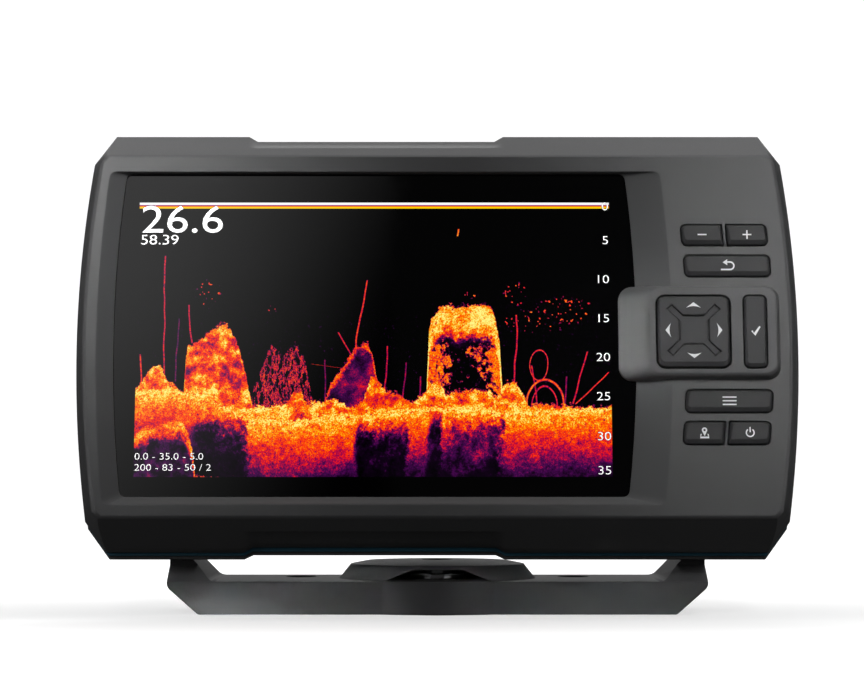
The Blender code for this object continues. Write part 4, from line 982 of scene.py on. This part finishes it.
def front_bezel():
    start = NOTCH_START / CHAMFER_DEPTH
    rings = [(sink, face_ring(inset)) for sink, inset in rolled(FACE_EDGE, (0.0, pi / 8, pi / 4))]
    for share in (0.035, 0.07, 0.12, 0.2, 0.3, start, start + 0.03, 0.55, 0.7, 0.85, 1.0):
        past = max(0.0, share - start)
        jog = min(NOTCH_DEPTH * past / (1 - start) + NOTCH_STEP * min(past / 0.03, 1.0), NOTCH_DEPTH)
        rings.append((CHAMFER_DEPTH * share, chamfer_ring(share, jog)))
    rings.append((BEZEL_DEPTH - 0.25, chamfer_ring(1.0, NOTCH_DEPTH)))
    rings.append((BEZEL_DEPTH, chamfer_ring(1.0, NOTCH_DEPTH, 0.25)))
    hollow = stack([(BEZEL_WALL, face_ring(BEZEL_WALL * 0.8)),
                    (CHAMFER_DEPTH, chamfer_ring(1.0, NOTCH_DEPTH, BEZEL_WALL)),
                    (BEZEL_DEPTH + PAST, chamfer_ring(1.0, NOTCH_DEPTH, BEZEL_WALL))])
    steps = cut(hollow, pocket()) + add(pod())
    steps += cut(*[well(site, depth) for _, site, depth, _ in key_sites()])
    for _, right_key, top, height in KEY_ROWS:
        if right_key:
            split = KEY_SPLIT + key_bow(top)
            reach = KEY_RIB / 2 + KEY_RIB_CORNER
            steps += cut(box((split - reach, -PAST, top - height - KEY_RIB_SHY),
                             (split + reach, KEY_RIB_DROP, top + KEY_RIB_SHY)))
    for spot in screw_sites():
        steps += add(rod(SCREW_POST_RADIUS, CHAMFER_DEPTH * 0.45, BEZEL_DEPTH, sides=24, at=spot))
        steps += cut(rod(SCREW_RADIUS + GAP, TUB_Y - SCREW_LENGTH, BEZEL_DEPTH + PAST,
                         sides=24, at=spot))
    piece("front_bezel_shell", worked(stack(rings), steps), "head_plastic", "head", "front_bezel")


def cover_glass():
    """Glass with a ground edge."""
    sheet = eased(lambda inset: glass_outline(GLASS_HOLD - inset), GLASS_Y,
                  GLASS_Y + GLASS_THICKNESS, RIM_EASE, RIM_EASE)
    piece("cover_glass", sheet, "screen_glass", "head", "display_window")


def lettering(text, height, x, z, align, weight, stretch):
    """Numerals as flat outlines: height is that of a digit, (x, z) the foot of the line."""
    curve = bpy.data.curves.new("numerals", "FONT")
    curve.body = text
    curve.size = height / 0.729
    curve.align_x = align
    curve.extrude = MARK_THICKNESS / 2
    curve.offset = weight
    curve.resolution_u = 4
    holder = placed("numerals", curve)
    mesh = evaluated(holder)
    bpy.data.objects.remove(holder)
    bm = bmesh.new()
    bm.from_mesh(mesh)
    bmesh.ops.remove_doubles(bm, verts=bm.verts, dist=0.002)
    bmesh.ops.rotate(bm, matrix=Matrix.Rotation(pi / 2, 3, "X"), verts=bm.verts)
    bmesh.ops.scale(bm, vec=(stretch, 1, 1), verts=bm.verts)
    bmesh.ops.translate(bm, vec=(x, 0, z), verts=bm.verts)
    bm.to_mesh(mesh)
    bm.free()
    return mesh


# Lines of numerals: piece, text, height, left end, foot, weight, stretch.
NOTES = (("depth_reading", "26.6", 9.6, PICTURE_LEFT + 0.4, 34.4, -0.03, 1.22),
         ("temperature_reading", "58.39", 3.45, PICTURE_LEFT + 0.4, 30.4, -0.03, 1.22),
         ("range_note", "0.0 - 35.0 - 5.0", 2.3, PICTURE_LEFT + 0.1, -40.8, -0.04, 1.2),
         ("frequency_note", "200 - 83 - 50 / 2", 2.3, PICTURE_LEFT + 0.1, -44.4, -0.04, 1.2))
SCALE_FEET = (41.9, 30.5, 17.4, 4.4, -8.5, -21.4, -34.5, -45.6)


def screen_numbers():
    """Depth, water temperature and the depth scale, as lit numerals in front of the picture."""
    front = GLASS_Y - MARK_THICKNESS / 2
    lines = [(*line, "LEFT") for line in NOTES]
    lines += [(f"scale_{5 * step}", str(5 * step), 2.9, PICTURE_RIGHT - 0.1, low, -0.05, 1.2, "RIGHT")
              for step, low in enumerate(SCALE_FEET)]
    for name, text, height, x, z, weight, stretch, align in lines:
        for suffix, finish, bolder, sink in (("", SCREEN_WHITE, 0.0, -0.02),
                                             ("_shade", SCREEN_EDGE, 0.1, 0.02)):
            mesh = lettering(text, height, x, z, align, weight + bolder, stretch)
            piece(name + suffix, moved(mesh, (0, front + sink, 0)), finish, "head")


def key_cap(site, depth, clearance, flange, low_edge):
    """A key: crowned front, wide soft bevel along its lower edge, rim behind the wall."""
    front = depth - KEY_PROUD
    edges = (KEY_SIDE_EDGE, low_edge, KEY_TOP_EDGE)
    profile = []
    for turn in (0.0, pi / 4, pi / 2):
        roll = KEY_ROLL * (1 - 0.999 * sin(turn))
        profile.append((front + 0.06 * (1 - cos(turn)), *[edge + roll for edge in edges]))
    rim = [-KEY_FLANGE - clearance] * 3
    profile += [(front + KEY_FALL * 0.8, 0.3, 0.4, 0.25), (front + KEY_FALL, 0.16, 0.2, 0.14),
                (front + KEY_FALL + 0.3, 0.05, 0.05, 0.05), (flange, 0.0, 0.0, 0.0),
                (flange, *rim), (flange + KEY_FLANGE_THICKNESS, *rim)]
    return stack([(place, key_outline(site, *[clearance + inset for inset in insets]))
                  for place, *insets in profile])


def cross_steps(middle_x, middle_z, front):
    """Recess in the direction pad: an octagon with four diagonal arms and a groove at its edge."""
    def ring(depth, grow):
        outline = []
        for across, up in ((1, -1), (1, 1), (-1, 1), (-1, -1)):
            corner = [(CROSS_WAIST + 0.4 * grow, CROSS_HALF + grow),
                      (CROSS_NARROW + 0.2 * grow, CROSS_REACH - 0.15 + 0.8 * grow),
                      (CROSS_REACH + 0.8 * grow, CROSS_NARROW + 0.2 * grow),
                      (CROSS_HALF + grow, CROSS_WAIST + 0.4 * grow)]
            if across == up:
                corner.reverse()
            outline += [(middle_x + across * x, middle_z + CROSS_RAISE + up * z) for x, z in corner]
        return (depth, outline)

    floor = front + 2 * CROSS_DEPTH
    arms = stack([ring(front - PAST, 0.3), ring(front, 0.25), ring(floor, 0.1)])
    island = stack([ring(front + CROSS_DEPTH, -0.5), ring(floor + PAST, -0.35)])
    return cut(arms) + add(island)


def stroke(points, width):
    """Outline of a bent stroke through points, square at both ends."""
    left, right = [], []
    for i, here in enumerate(points):
        before = Vector(points[max(i - 1, 0)])
        after = Vector(points[min(i + 1, len(points) - 1)])
        along = (after - before).normalized()
        inner = 0 < i < len(points) - 1
        lean = (Vector(here) - before).angle(after - Vector(here)) / 2 if inner else 0.0
        normal = Vector((-along.y, along.x)) * width / 2 / cos(lean)
        left.append(tuple(Vector(here) + normal))
        right.append(tuple(Vector(here) - normal))
    return left + right[::-1]


def arc(x, z, radius, start, end, count=14):
    """Points along an arc, with angles in degrees anticlockwise from +x."""
    turns = [radians(start + (end - start) * i / count) for i in range(count + 1)]
    return [(x + radius * cos(turn), z + radius * sin(turn)) for turn in turns]


def mark_outlines():
    """Printed marks: for each key, outlines around the middle of its face."""
    arrow = [(0, 9.2), (-2.35, 7.4), (-1.2, 7.78), (0, 7.9), (1.2, 7.78), (2.35, 7.4)]
    turns = [Matrix.Rotation(pi / 2 * i, 2) for i in range(4)]
    pin = arc(0, PIN_EYE_RISE, 0.88, 215, -35) + [(0, -1.15)]
    return {
        "minus_key": [oblong(-1.45, 1.45, -0.22, 0.22)],
        "plus_key": [[(-1.45, -0.22), (-0.22, -0.22), (-0.22, -1.45), (0.22, -1.45),
                      (0.22, -0.22), (1.45, -0.22), (1.45, 0.22), (0.22, 0.22), (0.22, 1.45),
                      (-0.22, 1.45), (-0.22, 0.22), (-1.45, 0.22)]],
        "back_key": [stroke([(-2.1, -1.4), (0.9, -1.4)] + arc(0.9, -0.15, 1.25, -75, 90)
                            + [(-0.6, 1.1)], 0.5), [(-1.5, 1.0), (0.0, 0.0), (0.0, 2.0)]],
        "menu_key": [oblong(-2.25, 2.25, z - 0.22, z + 0.22, 0.1, 2) for z in (-1.2, 0.0, 1.2)],
        "waypoint_key": [pin, stroke([(-0.95, -0.55), (-1.1, -0.55), (-1.35, -1.55), (1.35, -1.55),
                                      (1.1, -0.55), (0.95, -0.55)], 0.38)],
        "power_key": [stroke(arc(0, 0, 1.25, 125, 415, 28), 0.42), oblong(-0.21, 0.21, 0.15, 1.85)],
        "enter_key": [stroke([(-1.25, 0.1), (-0.4, -1.15), (1.35, 1.5)], 0.55)],
        "direction_pad": [[tuple(turn @ Vector(point) + Vector((0, CROSS_RAISE))) for point in arrow]
                          for turn in turns],
    }


def keys():
    marks = mark_outlines()
    for name, site, depth, clearance in key_sites():
        left, right, top, low, _, lean = site
        is_pad = name == "direction_pad"
        middle_z = (top + low) / 2
        middle_x = (left + right) / 2 - lean * key_bow(middle_z)
        flange = BEZEL_WALL + (PAD_FLOAT if is_pad else GAP)
        low_edge = ENTER_LOW_EDGE if name == "enter_key" else KEY_LOW_EDGE
        cap = key_cap(site, depth, clearance, flange, low_edge)
        front = depth - KEY_PROUD
        if is_pad:
            cap = worked(cap, cross_steps(middle_x, middle_z, front))
        piece(name + "_cap", cap, "key_rubber", name, name)
        solids = [plate([(middle_x + x, middle_z + z) for x, z in outline], front - MARK_THICKNESS,
                        front + MARK_SINK) for outline in marks[name]]
        piece(name + "_mark", joined(*solids), KEY_PRINT, name)
        if name == "waypoint_key":
            eye = rod(PIN_EYE_RADIUS, front - MARK_THICKNESS - MARK_SINK, front - MARK_SINK,
                      sides=20, at=(middle_x, middle_z + PIN_EYE_RISE))
    piece("waypoint_eye", eye, "key_rubber", "waypoint_key")


def seam():
    """Accent ring in the seam, with eased edges."""
    back = TRIM_Y + TRIM_THICKNESS
    outer = eased(lambda inset: seam_ring(1, inset), TRIM_Y, back, RIM_EASE, RIM_EASE)
    inner = plate(seam_ring(1, TRIM_WIDTH), TRIM_Y - PAST, back + PAST)
    piece("accent_ring", worked(outer, cut(inner)), "accent_teal", "head", "accent_trim")


def tub_ring(depth, inset=0.0):
    share = max(0.0, (depth - TUB_SIDE_END) / (HEAD_DEPTH - TUB_SIDE_END))
    width = TUB_HALF_WIDTH + share * (TUB_BACK_HALF_WIDTH - TUB_HALF_WIDTH)
    share = (depth - LIP_Y) / (HEAD_DEPTH - LIP_Y)
    height = TUB_HALF_HEIGHT + share * (TUB_BACK_HALF_HEIGHT - TUB_HALF_HEIGHT)
    return oblong(-width + inset, width - inset, -height + inset, height - inset,
                  max(TUB_CORNER - inset, 1.0), 10)


def recess(depth, floor, mouth):
    """A recess in the back of the housing, between the oblongs of its floor and its mouth."""
    return stack([(HEAD_DEPTH - depth, oblong(*floor)), (HEAD_DEPTH + PAST, oblong(*mouth))])


def rear_housing():
    """Lip, tub, cooling grooves across its back, label recess and seats for the screws."""
    lip = eased(lambda inset: seam_ring(2, inset), LIP_Y, TUB_Y, RIM_EASE, 2 * RIM_EASE)
    middle = LIP_Y + LIP_THICKNESS / 2
    rings = [(depth, tub_ring(depth, inset)) for depth, inset in (
        (middle, 0.0), (TUB_SIDE_END - 2, 0.0), (TUB_SIDE_END, 0.15), (TUB_SIDE_END + 1.5, 0.0))]
    for inset, sink in rolled(TUB_EDGE, [pi / 8 * i for i in range(5)]):
        rings.append((HEAD_DEPTH - sink, tub_ring(HEAD_DEPTH - sink, inset)))
    inner_end = HEAD_DEPTH - TUB_WALL
    hollow = stack([(LIP_Y - PAST, tub_ring(LIP_Y, TUB_WALL)),
                    (TUB_SIDE_END - PAST, tub_ring(TUB_SIDE_END, TUB_WALL)),
                    (inner_end, tub_ring(inner_end, TUB_WALL))])
    steps = add(stack(rings)) + cut(hollow)
    wall = TUB_HALF_WIDTH - TUB_WALL / 2
    insert_end = TUB_HALF_WIDTH - GAP - INSERT_LENGTH
    for side in (-1, 1):
        def sideways(radius, start, end, sides=32):
            return rod(radius, *sorted((side * start, side * end)), "X", sides, PIVOT_IN_FACE[1:])

        steps += add(sideways(CLAMP_BOSS_RADIUS, insert_end - TUB_WALL, wall),
                     sideways(CLAMP_PAD_RADIUS, wall, TUB_HALF_WIDTH + CLAMP_PAD_RISE, 48))
        steps += cut(sideways(INSERT_RADIUS + GAP, insert_end - GAP, TUB_HALF_WIDTH + PAST))
    steps += cut(*[rod(SCREW_RADIUS + GAP, LIP_Y - PAST, TUB_Y + PAST, sides=24, at=spot)
                   for spot in screw_sites()])
    steps += cut(rod(SOCKET_RADIUS + GAP, inner_end - PAST, HEAD_DEPTH + PAST,
                     at=(SOCKET_X, SOCKET_Z)))
    for number in range(RIB_COUNT):
        x = RIB_START + number * RIB_PITCH
        steps += cut(recess(RIB_GROOVE, (x - 1.3, x + 1.3, -12, 34, 1.2, 5),
                            (x - RIB_HALF_GAP, x + RIB_HALF_GAP, -13, 35, 2.0, 5)))
    steps += cut(recess(LABEL_DEPTH, (-48, 4, -36, -19, 2.0), (-48.8, 4.8, -36.8, -18.2, 2.6)))
    pip = [(0.001, HEAD_DEPTH + 0.5), (1.4, HEAD_DEPTH + 0.45), (1.9, HEAD_DEPTH - 0.3)]
    steps += add(*[turned(pip, "Y", 24, (x, z)) for z in (-37, 37) for x in (-60, 60)])
    piece("rear_housing_shell", worked(lip, steps), "head_plastic", "head", "rear_housing")


def lens_head(radius, height, base, steps=5):
    """Profile of a domed screw head standing on base, from its rim to its crown."""
    turns = [pi / 2 * i / steps for i in range(steps + 1)]
    return [(radius * cos(0.86 * turn), base + height * (0.45 + 0.55 * sin(turn))) for turn in turns]


def waved(at, radius, depth, waves, points_each):
    """Outline of a circle with waves that reach depth inwards."""
    outline = []
    for i in range(waves * points_each):
        turn = 2 * pi * i / (waves * points_each)
        reach = radius - depth * (0.5 - 0.5 * cos(waves * turn))
        outline.append((at[0] + reach * cos(turn), at[1] + reach * sin(turn)))
    return outline


def housing_screws():
    base = TUB_Y + GAP
    tip = base - SCREW_LENGTH
    core = SCREW_RADIUS * SCREW_CORE
    profile = [(0.3, tip + 0.5), (SCREW_RADIUS, tip + 1.3)]
    for i in range(THREADS):
        low = tip + 1.6 + i * THREAD_PITCH
        profile += [(SCREW_RADIUS, low), (core, low + 0.3), (core, low + 0.8)]
    profile += [(SCREW_RADIUS, base), (SCREW_HEAD_RADIUS, base)]
    profile += lens_head(SCREW_HEAD_RADIUS, SCREW_HEAD_HEIGHT, base)
    for number, spot in enumerate(screw_sites(), 1):
        drive = plate(waved(spot, 1.35, 0.5, 6, 6), base + 0.7, base + 3)
        screw = worked(turned(profile, "Y", 32, spot), cut(drive))
        piece(f"screw_{number}", screw, "steel", "head", f"housing_screw_{number}")


def socket():
    """Threaded socket body with a keyway, its hexagonal nut and its pin block."""
    out = HEAD_DEPTH + SOCKET_STANDS_OUT
    inner = HEAD_DEPTH - TUB_WALL - GAP
    floor = out - SOCKET_DEPTH
    flange = SOCKET_RADIUS + SOCKET_FLANGE
    core = SOCKET_RADIUS - SOCKET_THREAD
    at = (SOCKET_X, SOCKET_Z)
    profile = [(flange, inner - 1.6), (flange, inner), (core, inner)]
    depth = inner + 0.3
    while depth + 0.7 < out - 0.8:
        profile += [(core, depth), (SOCKET_RADIUS, depth + 0.25), (SOCKET_RADIUS, depth + 0.4),
                    (core, depth + 0.65)]
        depth += SOCKET_PITCH
    profile += [(core, out - 0.4), (SOCKET_RADIUS - 0.9, out)]
    mouth = SOCKET_BORE + 0.5
    bore = turned([(SOCKET_BORE, floor), (SOCKET_BORE, out - 0.5), (mouth, out + 0.01),
                   (mouth, out + PAST)], "Y", 64, at)
    keyway = box((SOCKET_X - 1.1, floor, SOCKET_Z + SOCKET_BORE - 1),
                 (SOCKET_X + 1.1, out + PAST, SOCKET_Z + SOCKET_BORE + 1.2))
    body = worked(turned(profile, "Y", 64, at), cut(bore, keyway))
    piece("socket_body", body, "moulded_black", "head", "sonar_socket")
    start = HEAD_DEPTH + GAP
    nut = stack([(start + depth, circle(*at, flange - inset, 6)) for depth, inset in (
        (0.0, 0.4), (0.35, 0.0), (NUT_THICKNESS - 0.35, 0.0), (NUT_THICKNESS, 0.4))])
    hole = rod(SOCKET_RADIUS + GAP, start - PAST, start + NUT_THICKNESS + PAST, at=at)
    piece("socket_lock_nut", worked(nut, cut(hole)), "moulded_black", "head", "socket_nut")
    puck = turned([(SOCKET_BORE - GAP, floor + GAP), (SOCKET_BORE - GAP, floor + 1.5),
                   (SOCKET_BORE - 0.6, floor + 1.8)], "Y", 48, at)
    pin = [(0.5, floor + 1.85), (0.5, floor + 2.9), (0.38, floor + 3.12), (0.15, floor + 3.2)]
    pins = [turned(pin, "Y", 16, spot) for spot in circle(*at, PIN_CIRCLE_RADIUS, PIN_COUNT)]
    piece("socket_pin_block", joined(puck, *pins), "brass", "head", "socket_pins")


# --- clamp knobs, bail bracket and base
def clamp_knob(side, name):
    """Lobed knob with rolled rims, a dished face and a collar against the arm."""
    at = (PIVOT.y, PIVOT.z)
    start = ARM_OUTER_X + GAP
    body = start + KNOB_COLLAR_THICKNESS
    end = body + KNOB_THICKNESS
    rim = [(inset, waved(at, KNOB_RADIUS - sink, KNOB_LOBE_DEPTH, KNOB_LOBES, 16))
           for sink, inset in rolled(KNOB_EDGE, (pi / 2, pi / 3, pi / 6, 0.0))]
    rings = [(body + inset, outline) for inset, outline in rim]
    rings += [(end - inset, outline) for inset, outline in rim[::-1]]
    hub = rod(KNOB_COLLAR_RADIUS, start, body + PAST, "X", 64, at)
    dish = turned([(8.6, end - 1.1), (10.2, end + 0.02), (10.2, end + PAST)], "X", 64, at)
    bore = rod(STUD_RADIUS + GAP, start - PAST, end - KNOB_FACE_WALL + GAP, "X", 32, at)
    knob = worked(stack(rings, "X"), add(hub) + cut(dish, bore))
    if side < 0:
        knob.transform(Matrix.Scale(-1, 4, (1, 0, 0)))
        knob.flip_normals()
    piece(name + "_knob_grip", knob, "bracket_plastic", name + "_knob", name + "_clamp_knob",
          where=STANDING)


def bail_bracket():
    half = BAIL_DEPTH / 2
    top = PIVOT.z + BAIL_EYE_RADIUS
    right = [(ARM_OUTER_X - BAIL_CORNER_X, BAIL_LIFT, 1.6),
             (ARM_OUTER_X, BAIL_LIFT + BAIL_CORNER_Z, 3.0), (ARM_OUTER_X, top, 0),
             (ARM_INNER_X, top, 0),
             (ARM_INNER_X, BAIL_HEIGHT + BAIL_GUSSET, 3.0),
             (ARM_INNER_X - BAIL_GUSSET, BAIL_HEIGHT, 4.0)]
    left = [(-x, z, radius) for x, z, radius in right[::-1]]
    channel = plate(rounded(right + left, 8), -half, half)
    eye = arc(PIVOT.y, PIVOT.z, BAIL_EYE_RADIUS, 0, 180, 32)
    low = BAIL_LIFT - PAST
    side_view = [(-half, low), (half, low), (half, BAIL_HEIGHT)] + eye + [
        (BAIL_SHOULDER_Y, BAIL_SHOULDER_Z), (-half, BAIL_HEIGHT)]
    reach = ARM_OUTER_X + 2
    radius = (BAIL_BULGE_HALF_WIDTH ** 2 + BAIL_BULGE ** 2) / (2 * BAIL_BULGE)
    centre_y = -half - BAIL_BULGE + radius
    bow = [(x, centre_y - sqrt(radius ** 2 - x ** 2)) for x in
           [BAIL_BULGE_HALF_WIDTH * (i / 16 - 1) for i in range(33)]]
    bow += [(side * BAIL_BULGE_HALF_WIDTH, -half + BAIL_WALL / 2) for side in (1, -1)]
    inner_x = ARM_OUTER_X - BAIL_CORNER_X - BAIL_WALL
    steps = [("INTERSECT", plate(side_view, -reach, reach, "X"))]
    steps += add(plate(bow, BAIL_LIFT, BAIL_HEIGHT, "Z"))
    steps += cut(box((-inner_x, -half + BAIL_WALL, -PAST),
                     (inner_x, half - BAIL_WALL, BAIL_HEIGHT - BAIL_WALL)))

    def dome(inset, foot):
        shoulder, rise = DOME_SHOULDER - inset, DOME_SHOULDER_RISE - inset
        top_rise = DOME_TOP_RISE - inset
        profile = [(DOME_FOOT - inset, foot), (shoulder, rise), (shoulder - 0.8, rise + 0.2),
                   (DOME_TOP - inset, top_rise), (DOME_TOP / 2, top_rise + DOME_CROWN * 0.7),
                   (0.05, top_rise + DOME_CROWN)]
        mesh = turned([(r, BAIL_HEIGHT + h) for r, h in profile], "Z", 96)
        for vertex in mesh.vertices:
            vertex.co.y *= DOME_SQUEEZE
        return mesh

    arch = rounded([(-ARCH_HALF_WIDTH, BAIL_HEIGHT, 0), (ARCH_HALF_WIDTH, BAIL_HEIGHT, 0),
                    (ARCH_TOP_HALF_WIDTH, BAIL_HEIGHT + ARCH_RISE, 3),
                    (-ARCH_TOP_HALF_WIDTH, BAIL_HEIGHT + ARCH_RISE, 3)])
    steps += add(dome(0.0, -BAIL_WALL / 2))
    steps += cut(dome(DOME_WALL, 0.0), plate(arch, -half - PAST, -half / 3),
                 rod(SWIVEL_HEAD_RADIUS + 2 * GAP, BAIL_HEIGHT + DOME_TOP_RISE / 2,
                     BAIL_HEIGHT + DOME_TOP_RISE * 2, "Z"),
                 rod(HUB_RADIUS + GAP, 0, BAIL_HEIGHT + DOME_WALL / 2, "Z"))
    for side in (-1, 1):
        spot = (side * BAIL_HOLE_X, BAIL_HOLE_Y)
        ends = sorted((side * (ARM_INNER_X - PAST), side * (ARM_OUTER_X + PAST)))
        steps += cut(rod(BAIL_HOLE_RADIUS, 0, BAIL_HEIGHT + PAST, "Z", 32, spot),
                     rod(BAIL_SINK_RADIUS, BAIL_HEIGHT - BAIL_SINK_DEPTH, BAIL_HEIGHT + PAST, "Z",
                         48, spot),
                     rod(STUD_RADIUS + GAP, *ends, "X", 32, (PIVOT.y, PIVOT.z)))
    strap = worked(channel, steps, edge=0.35, edge_steps=2, angle=40.0)
    piece("bail_strap", strap, "bracket_plastic", "bail", "bail_bracket", where=STANDING)


def carried_over():
    """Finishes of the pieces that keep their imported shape."""
    for part in frame["record"]["subparts"]:
        node = frame["nodes"][part["node"]]
        if node.hide_render:
            continue
        material = FINISHES[part["material_slot"]].material
        if not node.data.materials:
            node.data.materials.append(material)
        for slot in node.material_slots:
            slot.material = material


# --- studio
def softbox(name, place, aim, width, height, power, spread):
    light = bpy.data.lights.new(name, "AREA")
    light.shape = "RECTANGLE"
    light.size = width * MM
    light.size_y = height * MM
    light.energy = power
    light.spread = radians(spread)
    holder = placed(name, light)
    holder.location = Vector(place) * MM
    direction = Vector(aim) - Vector(place)
    holder.rotation_euler = direction.to_track_quat("-Z", "Y").to_euler()


def staged(name, mesh, finish, *unseen_by):
    """A piece of the studio, hidden from the named kinds of rays."""
    mesh.materials.append(finish.material)
    made = placed(name, mesh)
    for rays in unseen_by:
        setattr(made, "visible_" + rays, False)
    return made


# Lights: name, place, what it faces, width, height, power and spread in degrees.
LIGHTS = (
    ("top_box", (0, 60, 620), (0, 20, 60), 900, 360, 1.6, 180),
    ("back_box", (0, 560, 440), (0, 30, 90), 700, 300, 1.3, 180),
    ("left_beam", (-175, -450, 430), (-116, -30, 140), 100, 100, 0.030, 19),
    ("right_beam", (195, -450, 430), (118, -30, 104), 110, 130, 0.030, 19),
    ("left_side", (-420, -300, 200), (-60, -30, 90), 160, 420, 0.45, 180),
    ("right_side", (420, -330, 200), (80, -30, 90), 160, 420, 0.4, 180),
    ("left_low", (-430, -150, 7), (-72, -23, 0), 20, 6, 0.008, 5),
    ("right_low", (430, -150, 7), (58, -23, 0), 20, 6, 0.003, 5),
    ("pod_beam", (-360, -420, 180), (62, -34, 92), 40, 24, 0.003, 6))
FLOOR_REACH = 6000
SHADOW_OVAL = (0.7, 1.6, 1.0)  # stretches the painted soft shadow on the floor into an oval
BACKDROP_RADIUS = 5500
WORLD_LIGHT = 0.025


def studio():
    paper = Finish("pale_paper", Emission_Strength=1.1, Roughness=0.9)
    fibre = paper.noise(35.0, 3.0)
    reach = paper.node("ShaderNodeVectorMath", {"operation": "LENGTH"},
                       {0: paper.scaled(SHADOW_OVAL)}, "Value")
    # painted shadow: the floor's glow is dimmed near the object
    paper.set(Base_Color=paper.mix(fibre, (0.30, 0.30, 0.30), (0.32, 0.32, 0.32)),
              Emission_Color=paper.mix(reach.rise(0.05, 0.26), (0.60, 0.60, 0.60), (1, 1, 1)))
    floor = plate(oblong(-FLOOR_REACH, FLOOR_REACH, -FLOOR_REACH, FLOOR_REACH), -20, 0, "Z")
    floor.transform(Matrix.Scale(MM, 4))
    staged("floor", floor, paper, "diffuse", "glossy")

    world = bpy.data.worlds.new("studio")
    world.use_nodes = True
    scene.world = world
    background = world.node_tree.nodes["Background"]
    background.inputs["Color"].default_value = (1, 1, 1, 1)
    background.inputs["Strength"].default_value = WORLD_LIGHT

    bm = bmesh.new()
    bmesh.ops.create_icosphere(bm, subdivisions=4, radius=BACKDROP_RADIUS * MM)
    backdrop = bpy.data.meshes.new("backdrop")
    bm.to_mesh(backdrop)
    bm.free()
    glow = Finish("white_paper", Emission_Strength=1.05, Base_Color=(0, 0, 0, 1),
                  Emission_Color=(1, 1, 1, 1))
    staged("backdrop", backdrop, glow, "diffuse", "glossy", "shadow", "transmission")

    sheen = Finish("reflector_cloth", Base_Color=(0, 0, 0, 1), Emission_Strength=1.0, Roughness=1.0)
    across, up = sheen.across_and_up()
    fade = (1 - (across - up * 0.35).rise(-60.0, 130.0)) * (0.45 + up.rise(-140.0, 60.0) * 0.55)
    weave = sheen.noise(400.0, 2.0) * 0.06 + 0.97
    sheen.set(Emission_Color=sheen.mix((fade * weave).held(), (0, 0, 0), (1, 1, 1)))
    card = plate(oblong(-125, 125, -140, 140), 0, 1)
    card.transform(Matrix.Scale(MM, 4))
    card = staged("reflector", card, sheen, "camera", "shadow")
    card.location = Vector((-150, -630, 315)) * MM
    card.rotation_euler = (radians(-20), 0, 0)

    for light in LIGHTS:
        softbox(*light)


LENS = 102.9
CAMERA_PLACE = (-1.78, -828.87, 57.1)
CAMERA_PITCH = 2.3  # degrees above level


def camera():
    lens = bpy.data.cameras.new("camera")
    lens.lens = LENS
    lens.sensor_width = 36
    eye = placed("camera", lens)
    eye.location = Vector(CAMERA_PLACE) * MM
    eye.rotation_euler = (radians(90 + CAMERA_PITCH), 0, 0)
    scene.camera = eye


camera()
front_bezel()
cover_glass()
screen_numbers()
keys()
seam()
rear_housing()
housing_screws()
socket()
clamp_knob(-1, "left")
clamp_knob(1, "right")
bail_bracket()
carried_over()
studio()
scene.view_settings.view_transform = "Standard"
